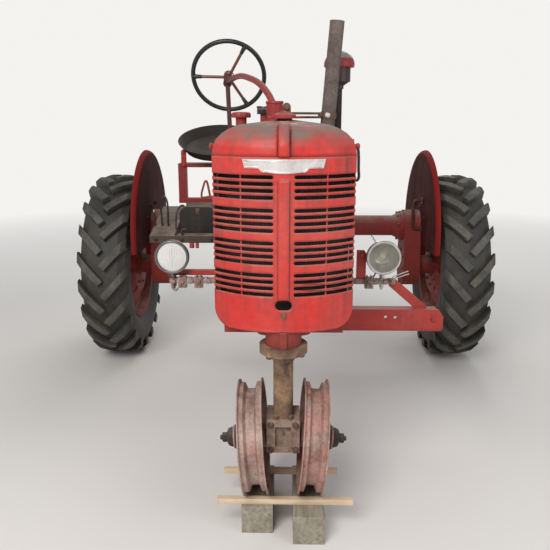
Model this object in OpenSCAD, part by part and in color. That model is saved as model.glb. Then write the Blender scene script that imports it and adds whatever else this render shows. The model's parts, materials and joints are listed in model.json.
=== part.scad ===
// Vintage row-crop tractor with twin front rims standing on wooden blocks.
// Stations along the tractor are measured from the rear axle, forward is -Y, the tractor's left is +X.

/* [Layout] */
// Height of the rear axle centre, half the rear tyre diameter
tyre_r = 540; // [500:1:580]
// Distance from rear axle to the steering pivot
wheelbase = 1806; // [1780:1:1830]
// Distance between the centre planes of the rear tyres
rear_tread = 1980; // [1940:1:2040]
// Distance of the longer block's front end ahead of the steering pivot
block_lead = 143; // [130:1:150]
// Overall reach behind the rear axle, to the tip of the drawbar
rear_reach = 620; // [590:1:660]

/* [Rear tyres] */
// Width of the rear tyre over the lugs
tyre_w = 265; // [240:1:290]
// Height of a lug above the carcass
lug_h = 34; // [24:1:44]
// Width of a lug
lug_w = 38; // [28:1:46]
// Lugs on each side of the tread
lug_count = 20; // [16:1:22]
// Angle between a lug and the wheel's axis
lug_angle = 48; // [40:1:52]

/* [Rear wheels] */
// Radius of the bead seat of the rear rim
rear_bead_r = 305; // [300:1:312]
// Radius of the flange of the rear rim
rear_flange_r = 328; // [324:1:334]
// Width between the rear rim's flanges
rear_rim_w = 200; // [190:1:206]
// Thickness of the rear rim's metal
rear_rim_t = 6; // [4:1:8]
// Radius of the hub drum of the rear wheel
rear_hub_r = 72; // [62:1:80]

/* [Front rims] */
// Radius of the front rim's flange
rim_r = 203; // [198:1:208]
// Width of the front rim over its flanges
rim_w = 85; // [80:1:92]
// Distance from the middle plane to the centre of each front rim
rim_x = 104; // [102:1:112]
// Lean of the front rims, their tops apart
camber = 4; // [3:0.5:5]
// Distance of the spindles behind the steering pivot
trail = 36; // [30:1:42]
// Diameter of the spindle
spindle_d = 38; // [34:1:42]
// Radial clearance of a running fit
running_gap = 0.06; // [0.03:0.01:0.1]
// Gap between neighbouring pieces that do not fasten
seat_gap = 0.3; // [0.2:0.1:0.5]

/* [Blocks and battens] */
// Height of the wooden blocks
block_h = 106; // [90:1:120]
// Width of the wooden blocks
block_w = 108; // [100:1:116]
// Thickness of the battens
batten_t = 20; // [16:1:24]
// Length of the longer block
block_l = 330; // [310:1:350]
// Length by which the shorter block stays back at the front
block_stagger = 60; // [40:1:80]

/* [Pedestal] */
// Diameter of the pedestal's column
column_d = 68; // [62:1:76]
// Diameter of the pedestal's flange ring
flange_d = 162; // [150:1:170]
// Thickness of the pedestal's flange ring
flange_t = 28; // [22:1:32]
// Height of the top of the flange ring
flange_z = 674; // [664:1:684]
// Width of the knuckle block
knuckle_w = 113; // [108:1:116]
// Diameter of the kingpin inside the bolster
kingpin_d = 48; // [42:1:54]
// Length of the kingpin above the flange
kingpin_l = 52; // [44:1:56]

/* [Grille shell] */
// Half width of the grille shell
shell_hw = 233; // [226:1:240]
// Distance of the shell's foremost point ahead of the steering pivot
shell_lead = 64; // [54:1:74]
// Bow of the shell's front in plan
shell_bow = 100; // [84:1:110]
// Length of the shell from its foremost point to its rear edge
shell_l = 260; // [240:1:280]
// Height of the shell's bottom
shell_z0 = 730; // [722:1:740]
// Height of the shell, from its bottom to the seam under the hood
shell_h = 565; // [555:1:580]
// Sheet thickness of the shell and the hood
sheet = 3; // [2:0.5:4]
// Width of the plain band between the left and the right slots
band_w = 66; // [60:1:72]
// Width of the raised rib down the middle of the grille and the hood's nose
rib_w = 34; // [28:1:40]
// Height of the raised rib
rib_h = 7; // [4:1:9]
// Height of a grille slot
slot_h = 12; // [10:1:14]
// Distance between slots of one group
slot_pitch = 21.2; // [20:0.1:22]
// Distance between the last slot of a group and the first of the next
group_gap = 40.5; // [38:0.1:44]
// Distance from the seam down to the uppermost slot
slot_drop = 55; // [52:1:64]

/* [Hood] */
// Rise of the hood's crown above the seam
nose_h = 113; // [100:1:120]
// Distance of the hood's rear edge behind the engine
hood_overhang = 180; // [160:1:200]
// Half width of the hood at its rear edge
hood_rear_hw = 205; // [200:1:212]
// Height of the hood's sides, from the crown to the lower edge
hood_h = 278; // [260:1:290]
// Radius of the hood's shoulders
shoulder_r = 110; // [90:1:120]

/* [Engine] */
// Space between the shell's rear edge and the engine, for radiator and fan
engine_gap = 160; // [150:1:175]
// Length of the engine block
engine_l = 650; // [630:1:680]
// Width of the cylinder block
block_width = 230; // [210:1:240]
// Height of the crankshaft's centre line
crank_z = 720; // [712:1:728]
// Height of the cylinder block's top above the crankshaft
deck_h = 265; // [250:1:275]
// Diameter of the fan
fan_d = 360; // [330:1:380]

/* [Exhaust and air] */
// Distance of the exhaust stack from the middle plane, at the hood
stack_x = 187; // [180:1:192]
// Distance of the exhaust stack ahead of the engine's rear face
stack_lead = 170; // [150:1:190]
// Diameter of the exhaust stack
stack_d = 62; // [56:1:64]
// Length of the exhaust stack above the hood's crown
stack_l = 402; // [370:1:420]
// Outward lean of the exhaust stack
stack_lean = 4.5; // [4:0.5:5]
// Distance of the air cleaner from the middle plane
cleaner_x = 246; // [242:1:256]
// Distance of the air cleaner behind the engine's rear face
cleaner_lag = 30; // [24:1:40]
// Height of the air cleaner's pipe above the hood's crown
cleaner_rise = 132; // [120:1:150]
// Diameter of the pre-cleaner's dome
dome_d = 140; // [130:1:146]

/* [Driveline] */
// Height of the axle housings' centre line
axle_z = 780; // [770:1:790]
// Width of the gearbox case
gearbox_w = 270; // [250:1:280]
// Distance from the middle plane to the outer face of the final drives
drive_x = 800; // [790:1:806]
// Thickness of the final drive housings
drive_t = 96; // [86:1:104]

/* [Driver's place] */
// Distance of the seat's centre from the middle plane
seat_x = 410; // [400:1:420]
// Diameter of the seat pan
seat_d = 485; // [470:1:495]
// Distance of the seat's centre behind the rear axle
seat_y = 130; // [120:1:145]
// Height of the middle of the seat's rim
seat_z = 1285; // [1270:1:1300]
// Backward tilt of the seat pan
seat_tilt = 20; // [16:1:23]
// Height of the platform's upper face
platform_z = 790; // [780:1:796]
// Diameter of the steering wheel
wheel_d = 410; // [395:1:425]
// Height of the steering wheel's hub
wheel_z = 1630; // [1615:1:1640]
// Distance of the steering wheel's hub from the middle plane
wheel_x = 310; // [300:1:318]
// Distance of the steering wheel's hub from the rear axle
wheel_y = 210; // [200:1:225]
// Rise of the steering wheel's axis
wheel_rise = 27; // [24:1:30]

/* [Fenders] */
// Radius of the fender's rounded top
fender_r = 470; // [455:1:480]
// Height of the fender's top
fender_top = 1226; // [1215:1:1240]
// Width of the fender's folded rim
fender_rim = 30; // [22:1:34]

/* [Lamps and carrier] */
// Diameter of a lamp
lamp_d = 157; // [150:1:164]
// Height of the lamps' centres
lamp_z = 800; // [790:1:810]
// Distance of the lamps' front ahead of the engine's rear face
lamp_lead = 230; // [220:1:240]
// Distance of the right lamp from the middle plane
lamp_right_x = 510; // [500:1:520]
// Distance of the left lamp from the middle plane
lamp_left_x = 446; // [436:1:456]
// Reach of the implement carrier from the middle plane
carrier_x = 736; // [720:1:750]
// Height of the implement carrier channel
carrier_h = 94; // [86:1:100]
// Height of the carrier's lower edge
carrier_z = 456; // [448:1:464]

/* [Hidden] */
$fn = 48;
red = [0.72, 0.13, 0.10];
dull_red = [0.50, 0.12, 0.10];
rust = [0.42, 0.27, 0.18];
dark = [0.18, 0.18, 0.19];
rubber = [0.13, 0.13, 0.13];
steel = [0.62, 0.62, 0.62];
wood = [0.72, 0.62, 0.45];

// Stations, as distances ahead of the rear axle.
front_reach = wheelbase + block_lead;
shell_front = wheelbase + shell_lead;
shell_rear = shell_front - shell_l;
engine_front = shell_rear - engine_gap;
engine_rear = engine_front - engine_l;
engine_mid = (engine_front + engine_rear) / 2;
hood_rear = engine_rear - hood_overhang;
stack_y = engine_rear + stack_lead;
cleaner_y = engine_rear - cleaner_lag;
lamp_y = engine_rear + lamp_lead;
axle_y = (front_reach - rear_reach) / 2;
tyre_x = rear_tread / 2;
spindle_y = trail - wheelbase;

// Heights.
seam_z = shell_z0 + shell_h;
crown_z = seam_z + nose_h;
slot_top = seam_z - slot_drop;
hood_z0 = crown_z - hood_h;
deck_z = crank_z + deck_h;
carcass_r = tyre_r - lug_h;
spindle_z = block_h + seat_gap + rim_r * cos(camber) + rim_w / 2 * sin(camber);

// Puts a piece drawn from the rear axle into the part's frame.
module at_axle() {
  translate([0, axle_y, 0]) children();
}

// Draws a left piece on the left side, or mirrored on the right.
module on_side(side) {
  if (side == "left") children();
  else mirror([1, 0, 0]) children();
}

// Turns a piece drawn along +Z to lie along v.
module along(v) {
  rotate([0, acos(v.z / norm(v)), atan2(v.y, v.x)]) children();
}

// Round bar between two points.
module rod(p, q, d) {
  translate(p) along(q - p) cylinder(h = norm(q - p), d = d);
}

// Swell of the ball at a bend over the bar's diameter.
bend_swell = 4;

// Share of the ball's depth at which the bar's straight runs stop inside it.
run_stop = 0.8;

// Round bar along a list of points, with balls at its bends.
module bent_rod(points, d) {
  last = len(points) - 1;
  inset = run_stop * sqrt(bend_swell * (2 * d + bend_swell)) / 2;
  for (i = [0 : last - 1]) {
    v = points[i + 1] - points[i];
    step = inset * v / norm(v);
    rod(points[i] + (i > 0 ? 1 : 0) * step, points[i + 1] - (i < last - 1 ? 1 : 0) * step, d);
  }
  for (i = [1 : last - 1])
    translate(points[i]) along(points[i] - points[i - 1]) sphere(d = d + bend_swell);
}

// Rectangle with rounded corners, centred.
module round_rect(x, y, r) {
  square([x - 2 * r, y], center = true);
  square([x, y - 2 * r], center = true);
  for (i = [-1, 1], j = [-1, 1])
    translate([i * (x / 2 - r), j * (y / 2 - r)]) circle(r);
}

// Outline of two circles joined by their outer tangents, the second one d below the first.
module link_outline(r1, r2, d) {
  a = asin((r2 - r1) / d);
  circle(r1);
  translate([0, -d]) circle(r2);
  polygon([
    [-r1 * cos(a), -r1 * sin(a) * -1 + 0], [r1 * cos(a), r1 * sin(a)],
    [r2 * cos(a), r2 * sin(a) - d], [-r2 * cos(a), r2 * sin(a) - d]
  ]);
}

// Box given by its low and high corners.
module block(lo, hi) {
  translate(lo) cube(hi - lo);
}

// Cylinder along X from x0 to x1.
module x_cyl(x0, x1, y, z, d) {
  translate([x0, y, z]) rotate([0, 90, 0]) cylinder(h = x1 - x0, d = d);
}

// Cylinder along Y from y0 to y1.
module y_cyl(y0, y1, x, z, d) {
  translate([x, y1, z]) rotate([90, 0, 0]) cylinder(h = y1 - y0, d = d);
}

// Rear tyres

// Half section of the carcass, [radius, distance from the centre plane].
tyre_shoulder_x = tyre_w / 2 - 12;
tyre_shoulder_r = carcass_r - 32;
function sidewall(n = 6) = [
  for (i = [0 : n])
    let (u = i / n)
    [
      rear_flange_r + (tyre_shoulder_r - rear_flange_r) * u,
      rear_rim_w / 2 + (tyre_shoulder_x - rear_rim_w / 2) * u
        + (tyre_w / 2 - (rear_rim_w / 2 + tyre_shoulder_x) / 2) * sin(180 * u)
    ]
];

module carcass() {
  side = sidewall();
  half = concat([[rear_bead_r, 0], [rear_bead_r, rear_rim_w / 2]], side,
    [[carcass_r - 12, tyre_w / 2 * 0.62], [carcass_r, 0]]);
  rotate([0, 90, 0])
    rotate_extrude($fn = 72) {
      polygon(half);
      mirror([0, 1]) polygon(half);
    }
}

// Solid that trims the lugs to the tread's outline.
module lug_envelope() {
  half = [
    [carcass_r - 60, 0], [carcass_r - 60, tyre_w / 2], [tyre_r - 34, tyre_w / 2],
    [tyre_r - 12, tyre_w / 2 * 0.8], [tyre_r, tyre_w / 2 * 0.35], [tyre_r, 0]
  ];
  rotate([0, 90, 0])
    rotate_extrude($fn = 72) {
      polygon(half);
      mirror([0, 1]) polygon(half);
    }
}

lug_len = (tyre_w / 2 + 10) / cos(lug_angle);
module lugs() {
  for (i = [0 : lug_count - 1], s = [-1, 1])
    rotate([(i + (s + 1) / 4) * 360 / lug_count, 0, 0])
      translate([s * (tyre_w / 4 + 10), 0, carcass_r - 45])
        rotate([0, 0, s * lug_angle])
          translate([-lug_len / 2, -lug_w / 2, 0]) cube([lug_len, lug_w, lug_h + 60]);
}

module rear_tyre(side) {
  color(rubber)
    at_axle() on_side(side) translate([tyre_x, 0, tyre_r]) {
      carcass();
      intersection() {
        lug_envelope();
        lugs();
      }
    }
}

// Rear wheels

// Section of the rim and its disc, [radius, distance outward].
module rear_wheel(side) {
  w = rear_rim_w / 2;
  t = rear_rim_t;
  well = rear_bead_r - 26;
  color(dull_red)
    at_axle() on_side(side) translate([tyre_x, 0, tyre_r]) rotate([0, 90, 0]) {
      difference() {
        union() {
          rotate_extrude($fn = 72)
            polygon([
              [rear_flange_r, -w - t], [rear_flange_r, -w], [rear_bead_r, -w],
              [rear_bead_r, -w + 34], [well, -w + 50], [well, w - 50],
              [rear_bead_r, w - 34], [rear_bead_r, w], [rear_flange_r, w],
              [rear_flange_r, w + t], [rear_bead_r - t, w + t],
              [rear_bead_r - t, w - 38], [well - t, w - 54],
              [well - t, -w + 54], [rear_bead_r - t, -w + 38], [rear_bead_r - t, -w - t]
            ]);
          // Dished disc from the rim's well to the hub drum.
          rotate_extrude($fn = 72)
            polygon([
              [well - t, -w + 54], [well - t, -w + 62], [well - 50, -w + 40],
              [rear_hub_r + 90, -w + 10], [rear_hub_r, -w + 10],
              [rear_hub_r, -w], [rear_hub_r + 92, -w], [well - 46, -w + 31]
            ]);
          translate([0, 0, -w - 10]) cylinder(h = 70, r = rear_hub_r);
          translate([0, 0, 60 - w]) cylinder(h = 34, r = rear_hub_r - 26);
        }
        translate([0, 0, -w - 11]) cylinder(h = 60, d = axle_d + 2 * running_gap);
        for (i = [0 : 7])
          rotate([0, 0, 45 * i]) translate([rear_hub_r + 110, 0, -w - 60])
            cylinder(h = 140, r = 20);
      }
    }
}

// Front rims

rim_seat_r = rim_r - 13;
rim_well_r = rim_r - 36;
hub_r = 40;
hub_in = rim_x - knuckle_w / 2 - 6;
// Reach of the spindle's end beyond the rim's centre plane.
spindle_reach = 66;

module front_rim(side) {
  w = rim_w / 2;
  color(side == "left" ? rust : dull_red)
    at_axle() on_side(side)
      translate([rim_x, spindle_y, spindle_z]) rotate([0, 90 + camber, 0])
        difference() {
          union() {
            rotate_extrude($fn = 64)
              polygon([
                [rim_r, -w], [rim_r, -w + 4], [rim_seat_r, -w + 5],
                [rim_seat_r, -w + 20], [rim_well_r, -w + 28], [rim_well_r, w - 28],
                [rim_seat_r, w - 20], [rim_seat_r, w - 5], [rim_r, w - 4], [rim_r, w],
                [rim_seat_r - 4, w], [rim_seat_r - 4, w - 17],
                [rim_well_r - 4, w - 25], [rim_well_r - 4, -w + 25],
                [rim_seat_r - 4, -w + 17], [rim_seat_r - 4, -w]
              ]);
            rotate_extrude($fn = 64)
              polygon([
                [rim_well_r - 4, -4], [rim_well_r - 4, 6], [hub_r + 50, -8],
                [hub_r, -8], [hub_r, -16], [hub_r + 54, -16]
              ]);
            translate([0, 0, -hub_in]) cylinder(h = hub_in + 72, r = hub_r);
            translate([0, 0, 72]) cylinder(h = 14, r = hub_r - 14);
          }
          translate([0, 0, -hub_in - 1])
            cylinder(h = hub_in + 71, d = spindle_d + 2 * running_gap);
          for (i = [0 : 4])
            rotate([0, 0, 72 * i]) translate([hub_r + 70, 0, -60]) cylinder(h = 120, r = 14);
        }
}

// Steered front end

module pedestal() {
  color(rust) at_axle() translate([0, -wheelbase, 0]) {
    translate([0, 0, flange_z - flange_t]) cylinder(h = flange_t, d = flange_d);
    translate([0, 0, knuckle_top]) cylinder(h = flange_z - flange_t - knuckle_top, d = column_d);
    translate([0, 0, flange_z]) cylinder(h = kingpin_l, d = kingpin_d);
    translate([0, 0, flange_z - flange_t - 36])
      cylinder(h = 36, d1 = column_d, d2 = column_d + 44);
  }
}

knuckle_top = spindle_z + 98;
module knuckle() {
  color(rust) at_axle() {
    translate([0, spindle_y, spindle_z]) {
      difference() {
        translate([-knuckle_w / 2, -trail - 42, -24]) cube([knuckle_w, trail + 84, 122]);
        translate([-28, -trail - 43, -2]) cube([56, 26, 74]);
      }
      for (s = [-1, 1])
        translate([s * rim_x, 0, 0]) rotate([0, s * (90 + camber), 0])
          translate([0, 0, knuckle_w / 2 - 10 - rim_x])
            cylinder(h = rim_x - knuckle_w / 2 + 10 + spindle_reach, d = spindle_d);
    }
  }
}

// Blocks: [side, front end's distance behind the longer block's front]
module stand_blocks() {
  color(wood) at_axle()
    for (b = [[-1, block_stagger], [1, 0]])
      translate([b[0] * (rim_x - 15) - block_w / 2, b[1] - front_reach, 0])
        cube([block_w, block_l - b[1], block_h]);
}

// Distance of a batten's inner face from the spindles, where it just clears the rims' outer flanges.
batten_drop = (spindle_z - block_h - batten_t - rim_w / 2 * sin(camber)) / cos(camber);
chock = sqrt(pow(rim_r, 2) - pow(batten_drop, 2)) + seat_gap;
module battens() {
  color(wood) at_axle()
    for (b = [[-1, -229, 244], [1, -223, 204]])
      translate([b[1], spindle_y + b[0] * chock - (b[0] < 0 ? batten_t : 0), block_h])
        cube([b[2] - b[1], batten_t, batten_t]);
}

// Front bolster

neck_z = flange_z + seat_gap;
bolster_t = 34;
// Lap of the bolster's side rails over the engine block.
rail_lap = 120;
module front_bolster() {
  color(dull_red) at_axle() difference() {
    union() {
      translate([0, -wheelbase, neck_z]) cylinder(h = shell_z0 - neck_z, d = flange_d - 40);
      block([40 - flange_d / 2, -wheelbase, shell_z0 - bolster_t],
        [flange_d / 2 - 40, -shell_rear + 40, shell_z0 - seat_gap]);
      block([-shell_hw + 30, 45 - wheelbase, shell_z0 - bolster_t],
        [shell_hw - 30, -shell_rear + 40, shell_z0 - seat_gap]);
      block([-11, 4 - flange_d / 2 - wheelbase + 8, neck_z], [11, -wheelbase, shell_z0 - seat_gap]);
      // Side rails back to the engine.
      for (s = [-1, 1])
        block([s > 0 ? block_width / 2 : -block_width / 2 - 26,
            rad_depth / 2 + seat_gap - cap_y, crank_z - 60],
          [s > 0 ? block_width / 2 + 26 : -block_width / 2, -engine_front + rail_lap, crank_z + 60]);
      block([-block_width / 2 - 26, -shell_rear, min(shell_z0, crank_z) - 64],
        [block_width / 2 + 26, -shell_rear + 40, shell_z0 - seat_gap]);
    }
    translate([0, -wheelbase, neck_z - 1])
      cylinder(h = kingpin_l + 5, d = kingpin_d + 2 * running_gap);
  }
}

// Grille shell

// Plan outline of the shell, grown by g, from its rear edge to its bowed front.
bow_r = (pow(shell_hw, 2) + pow(shell_bow, 2)) / (2 * shell_bow);
module shell_plan(g) {
  intersection() {
    translate([0, bow_r - shell_front]) circle(r = bow_r + g, $fn = 96);
    translate([-shell_hw - g, -shell_front - 5])
      square([2 * (shell_hw + g), shell_front - shell_rear + 5]);
  }
}

// Front outline of the shell, with rounded bottom corners.
shell_corner_r = 60;
module shell_face(g) {
  r = shell_corner_r;
  translate([0, shell_z0 - g + r]) {
    for (s = [-1, 1]) translate([s * (shell_hw + g - r), 0]) circle(r);
    translate([-shell_hw - g + r, -r]) square([2 * (shell_hw + g - r), r]);
  }
  translate([-shell_hw - g, shell_z0 - g + r])
    square([2 * (shell_hw + g), seam_z - shell_z0 + g - r]);
}

module shell_solid(g) {
  intersection() {
    linear_extrude(height = seam_z) shell_plan(g);
    translate([0, -shell_rear, 0]) rotate([90, 0, 0])
      linear_extrude(height = shell_front - shell_rear + 5) shell_face(g);
  }
}

slot_groups = 4;
slot_rows = 4;
stiffener_x = 137;
// Height of a slot's lower edge: group from the top, row within it.
function slot_z(g, k) =
  slot_top - slot_h - g * ((slot_rows - 1) * slot_pitch + group_gap) - k * slot_pitch;
slot_foot = slot_z(slot_groups - 1, slot_rows - 1);
crank_hole_z = slot_foot - 29;

// One slot, round at the band and open round the shell's side.
module slot_cut(z, s) {
  x0 = band_w / 2 + slot_h / 2;
  translate([s > 0 ? x0 : -shell_hw - 10, -shell_front - 5, z])
    cube([shell_hw + 10 - x0, shell_bow + 28, slot_h]);
  y_cyl(-shell_front - 5, -shell_front + 40, s * x0, z + slot_h / 2, slot_h);
}

module grille_shell() {
  color(red) at_axle() {
    difference() {
      union() {
        shell_solid(0);
        translate([0, 0, slot_foot - 10]) linear_extrude(height = plate_z0 - 12 - slot_foot)
          intersection() {
            shell_plan(rib_h);
            translate([-rib_w / 2, -shell_front - 20]) square([rib_w, 60]);
          }
      }
      shell_solid(-sheet);
      translate([-shell_hw + 20, -shell_rear - 40, shell_z0 + sheet])
        cube([2 * shell_hw - 40, 60, seam_z]);
      for (g = [0 : slot_groups - 1], k = [0 : slot_rows - 1], s = [-1, 1]) slot_cut(slot_z(g, k), s);
      translate([0, 30 - shell_front, crank_hole_z]) rotate([90, 0, 0])
        linear_extrude(height = 60) round_rect(54, 32, 15.9);
    }
    // Stiffeners behind the slots.
    for (s = [-1, 1])
      translate([0, 0, slot_foot - 20]) linear_extrude(height = slot_top + 40 - slot_foot)
        intersection() {
          difference() {
            shell_plan(0.01 - sheet);
            shell_plan(-sheet - 9);
          }
          translate([s * stiffener_x - 2, -shell_front]) square([4, shell_bow + 40]);
        }
  }
}

// Blank plate: outline as [distance from the middle, height below the seam].
plate_outline = [[130, 6], [123, 34], [79, 34], [70, 44], [16, 50]];
plate_z0 = seam_z - 50;
module nose_plate() {
  side = [for (p = plate_outline) [p[0], seam_z - p[1]]];
  other = [for (i = [len(side) - 1 : -1 : 0]) [-side[i][0], side[i][1]]];
  color(steel) at_axle() intersection() {
    difference() {
      linear_extrude(height = seam_z) shell_plan(4);
      linear_extrude(height = seam_z + 1) shell_plan(0);
    }
    translate([0, -shell_front + 60, 0]) rotate([90, 0, 0])
      linear_extrude(height = 100) polygon(concat(side, other));
  }
}

// Hood

// Fall of the crown from the middle to the shoulders.
crown_drop = 14;

// Section across the hood: half width, top height, lower height and shoulder radius.
function hood_section(hw, top, low, r) = concat(
  [[-hw, low]],
  [for (a = [180 : -15 : 105]) [-hw + r + r * cos(a), top - crown_drop - r + r * sin(a)]],
  [[0, top]],
  [for (a = [75 : -15 : 0]) [hw - r + r * cos(a), top - crown_drop - r + r * sin(a)]],
  [[hw, low]]
);

// Body behind the shell; the inner one (inset > 0) is open to the front and below.
module hood_part(inset) {
  open = inset > 0 ? 1 : 0;
  // Stations: [y of the section's front face, half width]
  hull()
    for (st = [[seat_gap - shell_rear - open, shell_hw],
          [-hood_rear - 1 - inset, hood_rear_hw]])
        translate([0, st[0] + 1, 0]) rotate([90, 0, 0])
          linear_extrude(height = 1)
            polygon(hood_section(st[1] - inset, crown_z - inset, hood_z0 - open, shoulder_r));
}

// Nose: plan outlines that shrink towards the crown, [share of the rise, inset].
nose_levels = [[0, 0], [0.3, 4], [0.52, 15], [0.7, 32], [0.83, 52], [0.93, 76], [1, 112]];
module nose_part(inset) {
  open = inset > 0 ? 1 : 0;
  low = seam_z + seat_gap;
  rise = crown_z - crown_drop - low;
  intersection() {
    hull() {
      for (l = nose_levels)
        translate([0, 0, low + l[0] * rise - (l[0] > 0 ? inset : open)])
          linear_extrude(height = 0.1) shell_plan(-inset - l[1]);
      translate([0, seat_gap - shell_rear + open, 0]) rotate([90, 0, 0])
        linear_extrude(height = 1)
          polygon(hood_section(shell_hw - inset, crown_z - inset, seam_z - 100, shoulder_r));
    }
    translate([-1000, -3000, low - open]) cube([2000, 3000, 1000]);
  }
}

module hood() {
  color(red) at_axle() difference() {
    union() {
      difference() {
        union() {
          nose_part(0);
          intersection() {
            nose_part(-rib_h);
            translate([-rib_w / 2, -shell_front - 20, 0]) cube([rib_w, 130, 2000]);
          }
        }
        nose_part(sheet);
      }
      difference() {
        hood_part(0);
        hood_part(sheet);
      }
    }
    translate([0, -cap_y, 0]) cylinder(h = 2000, d = neck_d + 2 * seat_gap);
    for (c = tank_caps)
      translate([c[0], c[1], tank_top - 20]) cylinder(h = 300, d = c[3] + 2 * seat_gap);
    translate([stack_x, -stack_y, crown_z]) rotate([0, stack_lean, 0])
      cylinder(h = 600, d = stack_d + 24, center = true);
  }
}

// Radiator

cap_y = shell_rear + 30;
neck_d = 52;
rad_depth = 90;
core_hw = 222;
module radiator() {
  color(dark) at_axle() {
    low_hw = shell_hw - shell_corner_r - sheet;
    block([-low_hw, -cap_y - rad_depth / 2, shell_z0 + sheet],
      [low_hw, -cap_y + rad_depth / 2, shell_z0 + 80]);
    block([-core_hw, -cap_y - rad_depth / 2, shell_z0 + 80],
      [core_hw, -cap_y + rad_depth / 2, seam_z - 30]);
    block([-core_hw + 6, -cap_y - rad_depth / 2 + 5, seam_z - 30],
      [core_hw - 6, -cap_y + rad_depth / 2 - 5, seam_z + 24]);
    translate([0, -cap_y, seam_z + 20]) cylinder(h = crown_z - seam_z - 20 + 2, d = neck_d);
  }
}

// Fuel tank under the hood, with its caps

// Caps: [x, y, height of the top, neck diameter, cap diameter]
tank_caps = [
  [-176, 410 - shell_rear, crown_z + 24, 44, 72], [-88, 460 - shell_rear, crown_z + 40, 26, 50]
];
tank_top = crown_z - 60;
tank_x = -45;
tank_w = 290;
module fuel_tank() {
  color(dull_red) at_axle() {
    translate([tank_x, -hood_rear - 100, tank_top - 70]) rotate([90, 0, 0])
      linear_extrude(height = shell_rear - hood_rear - 430) round_rect(tank_w, 140, 50);
    for (c = tank_caps)
      translate([c[0], c[1], tank_top - 50]) cylinder(h = c[2] - tank_top + 30, d = c[3]);
  }
}

module filler_caps() {
  color(red) at_axle() {
    for (c = tank_caps)
      translate([c[0], c[1], c[2] - 20]) cylinder(h = 20, d = c[4]);
    translate([0, -cap_y, crown_z + 2]) {
      cylinder(h = 12, d = 78);
      translate([0, 0, 12]) cylinder(h = 8, d1 = 70, d2 = 44);
    }
  }
}

// Engine

module engine_block() {
  color(dull_red) at_axle() {
    block([-block_width / 2, -engine_front, crank_z - 60],
      [block_width / 2, -engine_rear, deck_z]);
    block([-crank_hw, -engine_front + rail_lap + 2, crank_z - 60], [crank_hw, -engine_rear, crank_z + 60]);
    // Timing cover and rear flange.
    translate([0, -engine_front, crank_z + 70]) rotate([90, 0, 0])
      linear_extrude(height = cover_t) round_rect(block_width - 16, 240, 40);
    // Push rod cover with its two bands, on the right.
    translate([-block_width / 2, -engine_mid, deck_z - 90])
      rotate([90, 0, -90]) linear_extrude(height = side_t) round_rect(engine_l - 120, 110, 20);
    // Oil filler with its cap, and the oil filter.
    translate([-crank_hw + 8, -engine_rear - 290, crank_z + 60]) cylinder(h = 90, d = 36);
    translate([-crank_hw + 8, -engine_rear - 290, crank_z + 146]) cylinder(h = 16, d = 54);
  }
}

module cylinder_head() {
  color(dull_red) at_axle() {
    block([-block_width / 2 + 10, -engine_front + 10, deck_z],
      [block_width / 2 - 10, -engine_rear - 20, deck_z + 70]);
    // Valve cover, a half round box on a flat flange.
    block([-74, -engine_front + 30, deck_z + 70], [74, -engine_rear - 40, deck_z + 78]);
    translate([0, -engine_rear - 50, deck_z + 86]) rotate([90, 0, 0])
      linear_extrude(height = engine_l - 90) round_rect(128, 84, 34);
    // Spark plugs on the right.
    for (i = [0 : 3])
      translate([-block_width / 2 + 14, -engine_front + 90 + i * plug_pitch, deck_z + 30])
        rotate([0, -70, 0]) {
          cylinder(h = 26, d = 26, $fn = 6);
          cylinder(h = 66, d = 15);
        }
    // Water outlet and the hose to the radiator's top tank.
    translate([0, -engine_front + 60, deck_z + 70]) cylinder(h = 30, d = 70);
    translate([0, -engine_front + 60, deck_z + 99]) cylinder(h = hose_z - deck_z - 99, d = hose_d);
    translate([0, -engine_front + 60, hose_z]) sphere(d = hose_d + 4);
    y_cyl(rad_depth / 2 + seat_gap - cap_y, -engine_front + 60, 0, hose_z, hose_d);
  }
}

plug_pitch = 155;
// Height and diameter of the upper water hose.
hose_z = seam_z - 18;
hose_d = 42;
// Thickness of the timing cover and of the push rod cover.
cover_t = 14;
side_t = 10;

module oil_pan() {
  color(dull_red) at_axle() {
    translate([0, 0, crank_z - 68])
      block([-crank_hw + 14, -engine_front + 20, 0], [crank_hw - 14, -engine_rear - 10, 8]);
    translate([0, -engine_mid - 5, crank_z - 150])
      linear_extrude(height = 84) round_rect(block_width - 16, engine_l - 50, 40);
    translate([0, -engine_rear - 150, crank_z - 158]) cylinder(h = 10, d = 28, $fn = 6);
  }
}

fan_z = deck_z - 20;
fan_y = engine_front + 62;
module fan_drive() {
  color(dark) at_axle() {
    // Fan hub and pulley on the water pump's shaft.
    y_cyl(-fan_y - 12, -engine_front - 40, 0, fan_z, 56);
    y_cyl(-engine_front - 44, -engine_front - 18, 0, fan_z, fan_pulley_d);
    y_cyl(-engine_front - 18, -engine_front, 0, fan_z, 84);
    y_cyl(-engine_front - 44, -engine_front - 18, 0, crank_z, crank_pulley_d);
    y_cyl(-engine_front - 18, -engine_front - cover_t - seat_gap, 0, crank_z, 60);
    for (i = [0 : 3])
      translate([0, -fan_y, fan_z]) rotate([0, 90 * i + 45, 0]) rotate([26, 0, 0])
        translate([20, -2, -36]) cube([fan_d / 2 - 20, 4, 72]);
    // Belt round both pulleys.
    translate([0, -engine_front - 25, fan_z]) rotate([90, 0, 0])
      linear_extrude(height = 12)
        difference() {
          link_outline(fan_pulley_d / 2 + 4, crank_pulley_d / 2 + 4, fan_z - crank_z);
          link_outline(fan_pulley_d / 2 - 2, crank_pulley_d / 2 - 2, fan_z - crank_z);
        }
    // Generator beside the block.
    y_cyl(-engine_front + 40, -engine_front + 200, generator_x, generator_z, generator_d);
    y_cyl(-engine_front + 24, -engine_front + 40, generator_x, generator_z, generator_d - 24);
    y_cyl(-engine_front - 40, -engine_front + 24, generator_x, generator_z, 20);
    y_cyl(-engine_front - 44, -engine_front - 22, generator_x, generator_z, 70);
  }
}

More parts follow.
